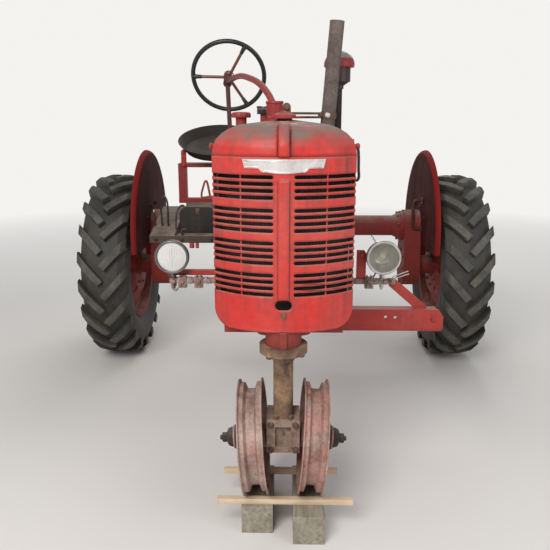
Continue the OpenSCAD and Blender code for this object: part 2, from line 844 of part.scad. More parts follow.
fan_pulley_d = 110;
crank_pulley_d = 130;
generator_d = 104;
generator_x = block_width / 2 + generator_d / 2 + seat_gap;
generator_z = crank_z + 138;

manifold_x = block_width / 2 + 55;
manifold_z = deck_z - 36;
// Height of the joint between the manifold's collar and the stack.
stack_z0 = manifold_z + 60;
module at_stack() {
  translate([stack_x, -stack_y, crown_z]) rotate([0, stack_lean, 0]) children();
}

module manifold() {
  color(rust) at_axle() {
    // Exhaust log with its ports, above the intake log.
    y_cyl(-engine_front + 60, -stack_y + 60, manifold_x, manifold_z, 56);
    for (i = [0 : 2])
      x_cyl(block_width / 2, manifold_x, -engine_front + 100 + i * 190, manifold_z, 44);
    for (y = [-engine_front + 60, -stack_y + 48])
      y_cyl(y, y + 12, manifold_x, manifold_z, 72);
    y_cyl(-engine_front + 240, -stack_y - 60, manifold_x, manifold_z - 52, 52);
    x_cyl(block_width / 2, manifold_x, -stack_y - 95, manifold_z - 52, 40);
    // Carburettor with its flange and float bowl.
    translate([manifold_x, carb_y, manifold_z - 190]) cylinder(h = 120, d = 46);
    translate([manifold_x, carb_y, manifold_z - 120]) cylinder(h = 12, d = 64);
    translate([manifold_x, carb_y, manifold_z - 230]) cylinder(h = 60, d = 60);
    x_cyl(manifold_x, manifold_x + 52, carb_y, manifold_z - 170, 48);
    at_stack() translate([0, 0, manifold_z + 10 - crown_z]) cylinder(h = 50, d = stack_d);
  }
}

carb_y = -stack_y - 160;

module exhaust_stack() {
  color(rust) at_axle()
    at_stack()
      difference() {
        translate([0, 0, stack_z0 - crown_z]) cylinder(h = stack_l + crown_z - stack_z0, d = stack_d);
        cylinder(h = stack_l + 10, d = stack_d - 8);
      }
}

module air_cleaner() {
  z0 = deck_z - 185;
  color(dark) at_axle() {
    block([block_width / 2, -engine_rear - 40, z0 + 80], [cleaner_x - 50, -engine_rear - 6, z0 + 120]);
    translate([cleaner_x, -cleaner_y, 0]) {
      // Oil cup, body with its clamp rings, cone and inlet pipe.
      translate([0, 0, z0]) cylinder(h = 10, d1 = 110, d2 = 130);
      translate([0, 0, z0 + 10]) cylinder(h = 50, d = 138);
      translate([0, 0, z0 + 56]) cylinder(h = 12, d = 154);
      translate([0, 0, z0 + 60]) cylinder(h = 170, d = 146);
      translate([0, 0, z0 + 230]) cylinder(h = 28, d1 = 146, d2 = 44);
      translate([0, 0, z0 + 250]) cylinder(h = crown_z + cleaner_rise - z0 - 250, d = 32);
    }
    // Hose forward to the carburettor.
    bent_rod([
      [cleaner_x, -cleaner_y - 40, z0 + 120], [cleaner_x, -cleaner_y - 120, z0 + 100],
      [cleaner_x - 6, carb_y + 60, manifold_z - 160], [manifold_x + 80, carb_y, manifold_z - 170],
      [manifold_x + 52 + seat_gap, carb_y, manifold_z - 170]
    ], 44);
  }
}

module pre_cleaner() {
  z0 = crown_z + cleaner_rise;
  color(steel) at_axle() translate([cleaner_x, -cleaner_y, z0]) {
    // Clamp, bowl, and the domed cap with its rolled edge.
    cylinder(h = 22, d = 44);
    translate([0, 0, 16]) cylinder(h = 16, d1 = 50, d2 = 96);
    translate([0, 0, 32]) cylinder(h = 62, d = 104);
    translate([0, 0, 94]) rotate_extrude()
      polygon(concat(
        [[0, 0], [dome_d / 2 - 5, 0], [dome_d / 2, 5]],
        [for (a = [8 : 9 : 89]) [dome_d / 2 * cos(a), 12 + 62 * sin(a)]],
        [[0, 74]]));
  }
}

module magneto() {
  x = -block_width / 2 - 60;
  z = crank_z + 124;
  color(dark) at_axle() {
    // Ignition unit with its cap of five towers, driven from the timing cover.
    y_cyl(-engine_front + 60, -engine_front + 157, x + 10, z, 78);
    block([x - 40, -engine_front + 156, z - 62],
      [-block_width / 2 - side_t - seat_gap, -engine_front + 246, z + 38]);
    translate([x + 6, -engine_front + 200, z + 38]) cylinder(h = 34, d = 78);
    for (i = [0 : 3])
      translate([x + 6, -engine_front + 200, z + 60]) rotate([0, 0, 90 * i + 45])
        translate([24, 0, 0]) cylinder(h = 30, d = 14);
    translate([x + 6, -engine_front + 200, z + 60]) cylinder(h = 34, d = 14);
    // Starter, with its solenoid switch on top.
    y_cyl(-engine_rear - 220, -engine_rear, x - 8, crank_z + 112, 100);
    y_cyl(-engine_rear - 236, -engine_rear - 220, x - 8, crank_z + 112, 76);
    y_cyl(-engine_rear - 170, -engine_rear - 90, x - 8, crank_z + 180, 44);
  }
}

// Driveline

housing_rear = 330;
module clutch_housing() {
  color(dull_red) at_axle()
    hull() {
      translate([0, 1 - engine_rear, crank_z + 20]) rotate([90, 0, 0])
        linear_extrude(height = 1) round_rect(block_width + 60, 320, 60);
      translate([0, -housing_rear, axle_z - 40]) rotate([90, 0, 0])
        linear_extrude(height = 1) round_rect(gearbox_w - 20, 260, 50);
    }
}

case_rear = 210;
case_z0 = axle_z - 170;
case_z1 = axle_z + 120;
module gearbox_case() {
  color(dull_red) at_axle() {
    translate([0, case_rear, (case_z0 + case_z1) / 2]) rotate([90, 0, 0])
      linear_extrude(height = case_rear + housing_rear)
        round_rect(gearbox_w, case_z1 - case_z0, 40);
    // Flanges at the front, round the rear cover and on top.
    for (y = [flange_w - housing_rear, case_rear])
      translate([0, y, (case_z0 + case_z1) / 2]) rotate([90, 0, 0])
        linear_extrude(height = flange_w) round_rect(gearbox_w + 24, case_z1 - case_z0 + 24, 46);
    translate([0, -60, case_z1 - 6])
      linear_extrude(height = lid_t + 6) round_rect(gearbox_w - 50, 250, 30);
    // Cover and shaft of the power take-off.
    y_cyl(case_rear, case_rear + 24, 0, pto_z, 110);
    y_cyl(case_rear, case_rear + 24 + pto_l, 0, pto_z, pto_d);
  }
}

// Width of the case's flanges and thickness of its lid.
flange_w = 16;
lid_t = 14;
// Power take-off: height, diameter and free length of its shaft.
pto_z = case_z0 + 70;
pto_d = 35;
pto_l = 86;

module axle_housing(side) {
  x0 = gearbox_w / 2;
  x1 = drive_x - drive_t;
  color(dull_red) at_axle() on_side(side) {
    x_cyl(x0, x0 + 22, 0, axle_z, 220);
    translate([x0 + 20, 0, axle_z]) rotate([0, 90, 0]) cylinder(h = 90, d1 = 180, d2 = 122);
    x_cyl(x0 + 20, x1 - 60, 0, axle_z, 120);
    translate([x1 - 62, 0, axle_z]) rotate([0, 90, 0]) cylinder(h = 42, d1 = 120, d2 = 160);
    x_cyl(x1 - 20, x1, 0, axle_z, 176);
  }
}

axle_d = 60;
module final_drive(side) {
  color(dull_red) at_axle() on_side(side) {
    translate([drive_x - drive_t, 0, axle_z]) rotate([90, 0, 90])
      linear_extrude(height = drive_t) link_outline(95, 124, axle_z - tyre_r);
    x_cyl(drive_x, tyre_x - rear_rim_w / 2 - 10 - seat_gap, 0, tyre_r, 110);
    x_cyl(drive_x, tyre_x - rear_rim_w / 2 + 30, 0, tyre_r, axle_d);
  }
}

module drawbar() {
  color(dull_red) at_axle() difference() {
    union() {
      block([-30, case_rear - 90, case_z0 - 100], [30, rear_reach, case_z0 - 76]);
      for (s = [-1, 1])
        block([s * 60 - 10, case_rear - 100, case_z0 - 100], [s * 60 + 10, case_rear - 40, case_z0]);
      block([-70, case_rear - 100, case_z0 - 100], [70, case_rear - 40, case_z0 - 76]);
    }
    translate([0, rear_reach - 30, case_z0 - 120]) cylinder(h = 60, d = 22);
  }
}

// Driver's place

platform_t = 8;
platform_in = 32;
platform_w = 420;
foot_x0 = 735;
foot_x1 = 600;
foot_rise = 103;
module platform() {
  inner = gearbox_w / 2 + platform_in;
  outer = inner + platform_w;
  front = wheel_y + 220;
  color(dark) at_axle() {
    block([-outer, -front, platform_z - platform_t], [-inner, -110, platform_z]);
    block([-foot_x0, -front - platform_t, platform_z - 38], [-inner, -front, platform_z]);
    // Foot plate that slopes up over the axle housing.
    translate([-foot_x0, 0, 0]) rotate([90, 0, 90]) linear_extrude(height = foot_x0 - foot_x1)
      polygon([
        [-front, platform_z - platform_t], [-front, platform_z],
        [0, platform_z + foot_rise], [0, platform_z + foot_rise - platform_t]
      ]);
    // Brackets to the gearbox case and to the axle housing.
    block([-inner - 20, -250, platform_z - 60], [-gearbox_w / 2, -160, platform_z - platform_t]);
    block([30 - outer, -170, platform_z - 40], [90 - outer, -62, platform_z - platform_t]);
  }
}

box_x = 582;
box_w = 200;
box_h = 146;
module side_box() {
  color(dark) at_axle()
    translate([box_w / 2 - box_x, -150, platform_z]) rotate([90, 0, 0]) linear_extrude(height = 200) {
      translate([-box_w / 2, 0]) square([box_w, box_h / 2]);
      translate([0, box_h / 2]) round_rect(box_w, box_h, 44);
    }
}

bar_z = case_z1;
arm_z = seat_z - 145;
post_x = seat_x + 220;
seat_depth = 92;
// Seat pan's place, its rim in the XY plane.
module at_seat() {
  translate([-seat_x, seat_y, seat_z]) rotate([seat_tilt, 0, 0]) children();
}

module seat_support() {
  color(red) at_axle() {
    y = seat_y - 40;
    block([-post_x - 25, y, bar_z], [-gearbox_w / 2 + 60, y + 50, bar_z + 30]);
    block([-post_x - 24, y, bar_z + 30], [-post_x + 25, y + 50, arm_z]);
    block([-post_x - 24, y, arm_z - 22], [-seat_x + 34, y + 120, arm_z]);
    at_seat() translate([0, 0, -seat_depth - seat_gap - 60]) cylinder(h = 60, d = 50);
  }
}

module seat_pan() {
  color(dark) at_axle()
    at_seat()
      rotate_extrude($fn = 64)
        polygon([
          [0, -seat_depth], [40, -seat_depth], [seat_d * 0.25, -84], [seat_d * 0.41, -58], [seat_d / 2, 0],
          [seat_d / 2 - 4, 0], [seat_d * 0.41 - 3, -54], [seat_d * 0.25, -80], [40, 4 - seat_depth], [0, 4 - seat_depth]
        ]);
}

wheel_axis = [0, cos(wheel_rise), sin(wheel_rise)];
hub_depth = 24;
shaft_d = 22;
// Steering wheel's place, its axis along Z.
module at_wheel() {
  translate([-wheel_x, -wheel_y, wheel_z]) rotate([wheel_rise - 90, 0, 0]) children();
}

// Everything below the hood's crown at a station, which the socket's foot is cut to.
module at_hood_crown(y) {
  translate([0, y, 0]) rotate([90, 0, 0])
    linear_extrude(height = 200, center = true)
      polygon(hood_section(shell_hw + seat_gap, crown_z + seat_gap, 0, shoulder_r));
}

// Points of the curved steering tube, from the bearing head to the socket on the hood.
socket_x = -40;
socket_y = 340 - shell_rear;
head_l = 70;
steer_tube = [
  [-wheel_x, -wheel_y, wheel_z] - (hub_depth + seat_gap + head_l - 14) * wheel_axis,
  [socket_x - 200, socket_y + 710, crown_z + 198], [socket_x - 110, socket_y + 320, crown_z + 166],
  [socket_x - 52, socket_y + 120, crown_z + 128], [socket_x - 16, socket_y + 30, crown_z + 82],
  [socket_x, socket_y, crown_z + 32]
];
module steering_column() {
  color(red) at_axle() {
    bent_rod(steer_tube, 27);
    difference() {
      translate([socket_x, socket_y, crown_z - crown_drop]) cylinder(h = 80, d = 64);
      at_hood_crown(socket_y);
    }
    difference() {
      at_wheel() translate([0, 0, -hub_depth - seat_gap - head_l]) cylinder(h = head_l, d = 46);
      at_wheel() translate([0, 0, -hub_depth - seat_gap - head_l + 20])
        cylinder(h = head_l, d = shaft_d + 2 * running_gap);
    }
    foot = [-280, -wheel_y - 90, platform_z];
    translate(foot) cylinder(h = 16, d = 60);
    rod(foot + [0, 0, 8], [-wheel_x, -wheel_y, wheel_z] - (hub_depth + 54) * wheel_axis - [0, 0, 16], 24);
  }
}

module steering_wheel() {
  color(dark) at_axle()
    at_wheel() {
      translate([0, 0, -hub_depth - head_l + 24]) cylinder(h = head_l, d = shaft_d);
      rotate_extrude($fn = 64) translate([wheel_d / 2 - 12, 0]) circle(d = 24);
      translate([0, 0, -hub_depth]) cylinder(h = hub_depth + 16, d = 52);
      for (i = [0 : 2])
        rotate([0, 0, 120 * i + 180]) rod([20, 0, -10], [wheel_d / 2 - 14, 0, 0], 16);
    }
}

pedal_z = platform_z - 30;
module pedals() {
  color(red) at_axle() {
    x = -gearbox_w / 2 - 22;
    y = flange_w - housing_rear + 20;
    x_cyl(x - 10, -gearbox_w / 2, y, pedal_z, 34);
    rod([x, y, pedal_z], [x, y - 190, pedal_z + 140], 18);
    block([x - 90, y - 215, pedal_z + 134], [x + 9, y - 180, pedal_z + 152]);
    // Gear lever on the gearbox cover, with its knob.
    translate([-20, -150, case_z1 + lid_t]) cylinder(h = 26, d1 = 90, d2 = 44);
    rod([-20, -150, case_z1 + 20], [-110, -210, case_z1 + 260], 14);
    translate([-110, -210, case_z1 + 262]) sphere(d = 38);
  }
}

// Disc fender: a flat sheet whose round edge is rolled outwards over the tyre.
module fenders() {
  z0 = axle_z - 90;
  r = fender_rim;
  edge = [for (a = [0 : 15 : 90]) [fender_r - r + r * sin(a), r - r * cos(a)]];
  inner = [for (a = [90 : -15 : 0])
    [fender_r - r + (r - sheet) * sin(a), r - (r - sheet) * cos(a)]];
  color(dull_red) at_axle() for (side = ["left", "right"]) on_side(side)
    intersection() {
      translate([drive_x, 0, fender_top - fender_r]) rotate([0, 90, 0]) rotate_extrude($fn = 96)
        polygon(concat([[0, 0]], edge, inner, [[0, sheet]]));
      translate([drive_x - 10, -fender_r - 10, z0])
        cube([fender_rim + 20, 2 * fender_r + 20, fender_top - z0 + 10]);
    }
}

// Lamps and carrier

// Half width of the crankcase, which the bars and the bolster's rails are bolted to.
crank_hw = block_width / 2 + 24;
bar_low = lamp_z - 130;
bar_t = 24;
plate_t = 12;
bar_clamps = [-396, -470, 388];
module lamp_bar() {
  color(rust) at_axle() {
    // Halves: [inner end, outer end, inner plate's outward face]
    block([-lamp_right_x - 20, stud_y - 12 - lamp_y, bar_low],
      [-crank_hw, stud_y + 12 - lamp_y, bar_low + bar_t]);
    block([crank_hw + plate_t, stud_y - 12 - lamp_y, bar_low],
      [lamp_left_x + 62, stud_y + 12 - lamp_y, bar_low + bar_t]);
    // Clamps round the bars.
    for (x = bar_clamps)
      block([x - 19, stud_y - 18 - lamp_y, bar_low - 20], [x + 19, stud_y + 12 - lamp_y, bar_low + bar_t + 6]);
    block([-crank_hw - 10, stud_y - 48 - lamp_y, bar_low - 5],
      [-crank_hw, stud_y + 48 - lamp_y, bar_low + 60]);
  }
}

// Distance from a lamp's front to the middle of its stud.
stud_y = 46;
lens_t = 6;
module at_lamps() {
  for (x = [-lamp_right_x, lamp_left_x]) translate([x, -lamp_y, lamp_z]) children();
}

module lamps() {
  r = lamp_d / 2;
  color(steel) at_axle() at_lamps() {
    rotate([-90, 0, 0]) rotate_extrude()
      polygon([
        [0, 66], [18, 64], [36, 54], [50, 38], [r - 18, 18], [r - 12, 10], [r - 9, 10], [r - 9, 0],
        [r - 3, 0], [r, 3], [r, 19], [r - 3, 22], [r - 5, 22],
        [r - 12, 52], [42, 88], [22, 100], [0, 100]
      ]);
    translate([0, stud_y, bar_low + bar_t - lamp_z])
      cylinder(h = lamp_z - bar_low - bar_t - r + 40, d = 18);
  }
}

module lamp_lenses() {
  color("white") at_axle() at_lamps() rotate([-90, 0, 0])
    translate([0, 0, 10 - lens_t]) cylinder(h = lens_t, r = lamp_d / 2 - 9);
}

web_t = 10;
carrier_w = 60;
brace_w = 44;
carrier_holes = [[470, 58], [514, 56]];
module carrier_frame() {
  y0 = -stack_y - carrier_w / 2;
  z1 = carrier_z + carrier_h;
  brace_foot = [lamp_left_x + 202, z1 - 8];
  brace_head = [lamp_left_x + 50, bar_low + 4];
  brace_l = norm(brace_foot - brace_head);
  brace_a = atan2(brace_head.y - brace_foot.y, brace_foot.x - brace_head.x);
  color(red) at_axle() {
    difference() {
      union() {
        // Channel open to the rear, its outer end cut at a slant.
        translate([0, y0 + web_t, 0]) rotate([90, 0, 0]) linear_extrude(height = web_t)
          polygon([
            [crank_hw, carrier_z], [carrier_x, carrier_z], [carrier_x, z1 - 34],
            [carrier_x - 22, z1], [crank_hw, z1]
          ]);
        block([crank_hw, y0, z1 - web_t], [carrier_x - 30, y0 + carrier_w, z1]);
        block([crank_hw, y0, carrier_z], [carrier_x - 30, y0 + carrier_w, carrier_z + web_t]);
      }
      for (h = carrier_holes)
        y_cyl(y0 - 1, y0 + web_t + 1, h[0], carrier_z + h[1], 15);
    }
    // Wear strip under the channel.
    block([crank_hw + 90, y0 + 4, carrier_z - web_t], [carrier_x - 4, y0 + carrier_w - 10, carrier_z]);
    block([crank_hw, -stack_y - 60, carrier_z], [crank_hw + plate_t, 60 - stack_y, crank_z + 50]);
    // Flat brace from the channel up behind the lamp bar's end.
    translate([brace_foot.x, stud_y + 12 + seat_gap - lamp_y, brace_foot.y]) rotate([0, brace_a, 0])
      translate([-brace_l, 0, -brace_w / 2]) cube([brace_l, 9, brace_w]);
    // Upper bar on the right, behind the lamp's stud.
    block([-lamp_right_x - 30, stud_y + 9 + seat_gap - lamp_y, bar_low + bar_t + 10],
      [-crank_hw - 10 - seat_gap, stud_y + 33 - lamp_y, bar_low + bar_t + 34]);
  }
}

front_bolster();
grille_shell();
nose_plate();
hood();
radiator();
fan_drive();
engine_block();
cylinder_head();
oil_pan();
manifold();
exhaust_stack();
air_cleaner();
pre_cleaner();
magneto();
fuel_tank();
filler_caps();
clutch_housing();
gearbox_case();
axle_housing("left");  // axle_housing_left
axle_housing("right");  // axle_housing_right
final_drive("left");  // final_drive_left
final_drive("right");  // final_drive_right
drawbar();
platform();
side_box();
seat_support();
seat_pan();
steering_column();
pedals();
fenders();
lamp_bar();
lamps();
lamp_lenses();
carrier_frame();
pedestal();
knuckle();
stand_blocks();
battens();
front_rim("left");  // front_rim_left
front_rim("right");  // front_rim_right
rear_tyre("left");  // rear_tyre_left
rear_tyre("right");  // rear_tyre_right
rear_wheel("left");  // rear_wheel_left
rear_wheel("right");  // rear_wheel_right
steering_wheel();
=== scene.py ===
"""Looks of a weathered row-crop tractor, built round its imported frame."""

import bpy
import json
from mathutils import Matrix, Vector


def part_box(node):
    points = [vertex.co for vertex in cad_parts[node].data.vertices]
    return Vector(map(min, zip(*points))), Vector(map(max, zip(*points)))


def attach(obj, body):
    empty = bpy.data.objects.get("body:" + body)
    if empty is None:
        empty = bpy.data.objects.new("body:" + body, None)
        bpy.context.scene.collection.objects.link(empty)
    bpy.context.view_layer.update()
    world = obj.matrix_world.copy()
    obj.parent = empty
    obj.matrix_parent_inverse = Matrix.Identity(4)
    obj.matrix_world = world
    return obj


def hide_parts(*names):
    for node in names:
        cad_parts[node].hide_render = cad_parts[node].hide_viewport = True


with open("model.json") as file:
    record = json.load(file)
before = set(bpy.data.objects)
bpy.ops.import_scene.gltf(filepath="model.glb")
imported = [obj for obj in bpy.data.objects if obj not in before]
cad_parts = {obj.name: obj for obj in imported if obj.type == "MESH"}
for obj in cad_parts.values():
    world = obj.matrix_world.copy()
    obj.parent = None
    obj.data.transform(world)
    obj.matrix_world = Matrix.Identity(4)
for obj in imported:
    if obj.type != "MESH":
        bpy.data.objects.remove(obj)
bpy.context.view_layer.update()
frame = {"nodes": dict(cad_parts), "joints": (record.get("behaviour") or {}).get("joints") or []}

import json
import math
from contextlib import contextmanager

import bmesh
import bpy
from mathutils import Matrix, Vector

bl_info = {
    "name": "Weathered Row-Crop Tractor",
    "version": (1, 0, 0),
    "blender": (4, 5, 0),
    "location": "3D View > Sidebar > Tractor",
    "description": "Finishes and small parts of an old tractor, with its stage",
    "category": "Object",
}


def middle(node):
    low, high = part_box(node)
    return (low + high) / 2


def joint_line(name):
    """A joint's place and axis."""
    joint = next(j for j in frame["joints"] if j["name"] == name)
    return Vector(joint["pos_m"]), Vector(joint["axis"])


# The tractor faces -Y, its left side is +X, and it stands on Z = 0.
MM = 0.001
UP, DOWN, AHEAD, BACK = (0, 0, 1), (0, 0, -1), (0, -1, 0), (0, 1, 0)
LEFT, RIGHT = (1, 0, 0), (-1, 0, 0)
AXLE_Y = middle("rear_wheel_left").y
WHEEL_HUB, WHEEL_OUT = joint_line("steering_wheel_turn")
if WHEEL_OUT.y < 0:
    WHEEL_OUT = -WHEEL_OUT

CAMERA_LENS = 42.2
CAMERA_SIDE = 0.01
CAMERA_TURN = math.radians(1.07)
FLOOR_COLOUR = (0.74, 0.72, 0.69)
PALE_ROOM = (0.90, 0.89, 0.87)
SOFT_SKY = (0.92, 0.95, 1.0)

# Lights: name, place, target, size, power, colour.
LIGHTS = (
    ("key", (-1.5, -4.7, 4.0), (0, -0.6, 0.7), 2.4, 215, (1.0, 0.97, 0.93)),
    ("fill", (3.4, -3.4, 2.6), (0, 0, 0.8), 2.6, 45, (0.93, 0.96, 1.0)),
    ("back", (0.6, 4.0, 3.8), (0, 0, 0.9), 3.0, 90, (1.0, 0.98, 0.95)),
)

FIN_PITCH = 0.0036
TUBE_PITCH = 0.0125
GLASS_IOR = 1.5


# Sizes and colours that a user would change.


class TractorColours(bpy.types.PropertyGroup):
    """Colours of the finishes, as they look in plain light."""

    bright: bpy.props.FloatVectorProperty(
        name="Bright paint", description="Paint of the grille shell and the hood",
        subtype="COLOR", size=3, min=0, max=1, default=(0.56, 0.024, 0.018))
    faded: bpy.props.FloatVectorProperty(
        name="Faded paint", description="Paint where the sun has bleached it",
        subtype="COLOR", size=3, min=0, max=1, default=(0.52, 0.075, 0.060))
    dull: bpy.props.FloatVectorProperty(
        name="Dull paint", description="Oily paint of the engine",
        subtype="COLOR", size=3, min=0, max=1, default=(0.27, 0.030, 0.024))
    rust: bpy.props.FloatVectorProperty(
        name="Bare colour", description="Bare rusty iron under chipped paint",
        subtype="COLOR", size=3, min=0, max=1, default=(0.135, 0.060, 0.032))
    dust: bpy.props.FloatVectorProperty(
        name="Dust", description="Dust lying on what faces up",
        subtype="COLOR", size=3, min=0, max=1, default=(0.36, 0.30, 0.235))
    rubber: bpy.props.FloatVectorProperty(
        name="Rubber", description="Rubber of the rear tyres",
        subtype="COLOR", size=3, min=0, max=1, default=(0.030, 0.029, 0.026))


class TractorSizes(bpy.types.PropertyGroup):
    """Sizes of small parts, and the camera's place."""

    flutes: bpy.props.IntProperty(
        name="Lens flutes", description="Flutes across a lamp's lens", default=13, min=5, max=31)
    wire: bpy.props.FloatProperty(
        name="Wire", description="Diameter of the lamps' wiring",
        unit="LENGTH", subtype="DISTANCE", default=0.007, min=0.003, max=0.012)
    camera_distance: bpy.props.FloatProperty(
        name="Camera distance", description="Distance of the camera from the rear axle",
        unit="LENGTH", subtype="DISTANCE", default=3.866, min=2.0, max=10.0)
    camera_height: bpy.props.FloatProperty(
        name="Camera height", description="Height of the camera above the floor",
        unit="LENGTH", subtype="DISTANCE", default=1.414, min=0.2, max=4.0)
    camera_pitch: bpy.props.FloatProperty(
        name="Camera pitch", description="Angle by which the camera looks down",
        subtype="ANGLE", default=math.radians(13.75), min=0, max=1.2)


def colours():
    return bpy.context.scene.tractor_colours


def sizes():
    return bpy.context.scene.tractor_sizes


# Shader nodes.


class Nodes:
    """Adds nodes to a shader tree in short calls that give back an output."""

    def __init__(self, tree):
        self.tree = tree

    def join(self, value, socket):
        """Links an output to a socket, or sets the socket's own value."""
        if isinstance(value, bpy.types.NodeSocket):
            self.tree.links.new(value, socket)
        else:
            socket.default_value = (*value[:3], 1) if socket.type == "RGBA" else value

    def add(self, kind, values=None, out=0, **settings):
        node = self.tree.nodes.new("ShaderNode" + kind)
        for key, value in settings.items():
            setattr(node, key, value)
        for key, value in (values or {}).items():
            self.join(value, node.inputs[key])
        return node.outputs[out]

    def maths(self, operation, *values):
        return self.add("Math", dict(enumerate(values)), operation=operation)

    def vector(self, operation, *values, out=0):
        return self.add("VectorMath", dict(enumerate(values)), out, operation=operation)

    def masks(self, mask, *others):
        """Product of masks, kept between 0 and 1."""
        for other in others:
            mask = self.add("Math", {0: mask, 1: other}, operation="MULTIPLY", use_clamp=True)
        return mask

    def raised(self, value, *shares):
        """A value with shares of masks added, kept between 0 and 1."""
        for mask, share in shares:
            value = self.add("Math", {0: mask, 1: share, 2: value},
                             operation="MULTIPLY_ADD", use_clamp=True)
        return value

    def ranged(self, value, low, high, out_low=0.0, out_high=1.0):
        return self.add("MapRange", {"Value": value, "From Min": low, "From Max": high,
                                     "To Min": out_low, "To Max": out_high})

    def mix(self, factor, a, b, blend="MIX"):
        return self.add("Mix", {0: factor, 6: a, 7: b}, 2, data_type="RGBA", blend_type=blend)

    def noise(self, vector, scale, detail, rough=0.55, distortion=0.0):
        return self.add("TexNoise", {"Vector": vector, "Scale": scale, "Detail": detail,
                                     "Roughness": rough, "Distortion": distortion})

    def place(self):
        return self.add("TexCoord", out="Object")

    def along(self, vector, axis):
        return self.add("SeparateXYZ", {0: vector}, axis)

    def edges(self, radius):
        """Bright where the surface turns over an edge."""
        rounded = self.add("Bevel", {"Radius": radius}, samples=4)
        flat = self.add("NewGeometry", out="Normal")
        return self.ranged(self.vector("DOT_PRODUCT", rounded, flat, out="Value"), 0.995, 0.90)

    def lying(self, normal=None):
        """Bright on what faces up."""
        normal = normal or self.add("NewGeometry", out="Normal")
        return self.ranged(self.along(normal, "Z"), 0.30, 0.95)


# Effects. Each gives its colour, its roughness and the values of its bump.


def weathered_paint(n, i):
    """Paint that fades, chips to rust, streaks with grime and gathers dust."""
    at = n.place()
    rounded = n.add("Bevel", {"Radius": i["Rounding"]}, samples=8)
    fade = n.masks(n.ranged(n.noise(at, 3.2, 5), 0.40, 0.66), i["Fading"])
    colour = n.mix(fade, i["Paint"], i["Faded"])
    tone = n.ranged(n.noise(at, 46, 3), 0.25, 0.75, 0.86, 1.10)
    colour = n.mix(1.0, colour, n.add("CombineColor", {0: tone, 1: tone, 2: tone}), "MULTIPLY")
    # Grime runs down, so its noise is drawn out along Z.
    runs = n.noise(n.add("Mapping", {"Vector": at, "Scale": (26, 26, 2.4)}), 1.0, 5, 0.6)
    blotch = n.noise(at, 9, 6, 0.62)
    dirt = n.masks(n.ranged(runs, 0.42, 0.70), n.ranged(blotch, 0.38, 0.66), i["Grime"])
    colour = n.mix(dirt, colour, (0.095, 0.036, 0.026))
    ragged = n.noise(at, 90, 8, 0.7)
    # Edges and chips take the bare colour. Where it is pale, as on the grille shell, the edges are
    # partly a painted highlight.
    edges = n.masks(n.edges(4 * MM), n.ranged(ragged, 0.40, 0.55), i["Edge wear and sheen"])
    chips = n.masks(n.ranged(blotch, 0.50, 0.75), n.ranged(ragged, 0.52, 0.60), i["Chips"])
    specks = n.masks(n.ranged(n.noise(at, 240, 2), 0.68, 0.74), i["Chips"])
    worn_and_sheen = n.maths("MAXIMUM", n.maths("MAXIMUM", edges, chips), specks)
    scales = n.ranged(n.noise(at, 130, 5), 0.3, 0.7)
    colour = n.mix(worn_and_sheen, colour, n.mix(scales, i["Bare colour"], (0.20, 0.105, 0.060)))
    film = n.ranged(n.noise(at, 14, 5), 0.35, 0.70, 0.25, 1.0)
    dust = n.masks(n.lying(rounded), film, i["Dust amount"])
    rough = n.raised(i["Gloss roughness"], (fade, 0.12), (worn_and_sheen, 0.35), (dust, 0.4))
    height = n.maths("SUBTRACT", n.maths("MULTIPLY", ragged, 0.35), worn_and_sheen)
    return n.mix(dust, colour, i["Dust"]), rough, {
        "Height": height, "Strength": 0.30, "Distance": 0.8 * MM, "Normal": rounded}


def rusty_iron(n, i):
    """Scaly rust in several tones, pitted, with remains of paint and dust on top."""
    at = n.place()
    broad = n.ranged(n.noise(at, 11, 7, 0.65, 0.4), 0.34, 0.68)
    fine = n.ranged(n.noise(at, 95, 7, 0.7), 0.35, 0.68)
    colour = n.mix(broad, i["Dark"], i["Light"])
    colour = n.mix(n.masks(fine, 0.55), colour, (0.052, 0.030, 0.020))
    flakes = n.ranged(n.noise(at, 17, 8, 0.7, 0.8), 0.60, 0.40)
    kept = n.masks(flakes, n.ranged(fine, 0.85, 0.30), i["Paint left"])
    colour = n.mix(kept, colour, i["Paint"])
    dust = n.masks(n.lying(), broad, i["Dust amount"])
    pits = n.add("TexVoronoi", {"Vector": at, "Scale": 160.0}, "Distance")
    return n.mix(dust, colour, i["Dust"]), n.ranged(kept, 0, 1, 0.86, 0.60), {
        "Height": n.maths("MULTIPLY_ADD", pits, 0.6, fine), "Strength": 0.45, "Distance": 1.2 * MM}


def old_rubber(n, i):
    """Weathered rubber: dark in the grooves, grey and dusty where it bulges."""
    at = n.place()
    up = n.maths("SUBTRACT", n.along(at, "Z"), i["Axle height"])
    ahead = n.maths("SUBTRACT", n.along(at, "Y"), AXLE_Y)
    radius = n.maths("SQRT", n.maths(
        "ADD", n.maths("MULTIPLY", up, up), n.maths("MULTIPLY", ahead, ahead)))
    crown = n.ranged(n.maths("SUBTRACT", radius, i["Tread radius"]), 0.006, 0.030)
    cloud = n.ranged(n.noise(at, 7, 6, 0.6), 0.30, 0.70)
    fine = n.noise(at, 70, 6, 0.65)
    amount = n.masks(n.raised(0.25, (crown, 0.55)), n.ranged(fine, 0.30, 0.68, 0.4, 1.0), cloud,
                     i["Dust amount"])
    # Fine rings of the mould show on the walls only.
    rings = n.maths("SINE", n.maths("MULTIPLY", radius, 520.0))
    height = n.maths("MULTIPLY_ADD", rings, n.ranged(crown, 0, 0.05, 0.10, 0), fine)
    return n.mix(amount, i["Rubber"], i["Dust"]), n.ranged(amount, 0, 1, 0.62, 0.95), {
        "Height": height, "Strength": 0.35, "Distance": 1.2 * MM}


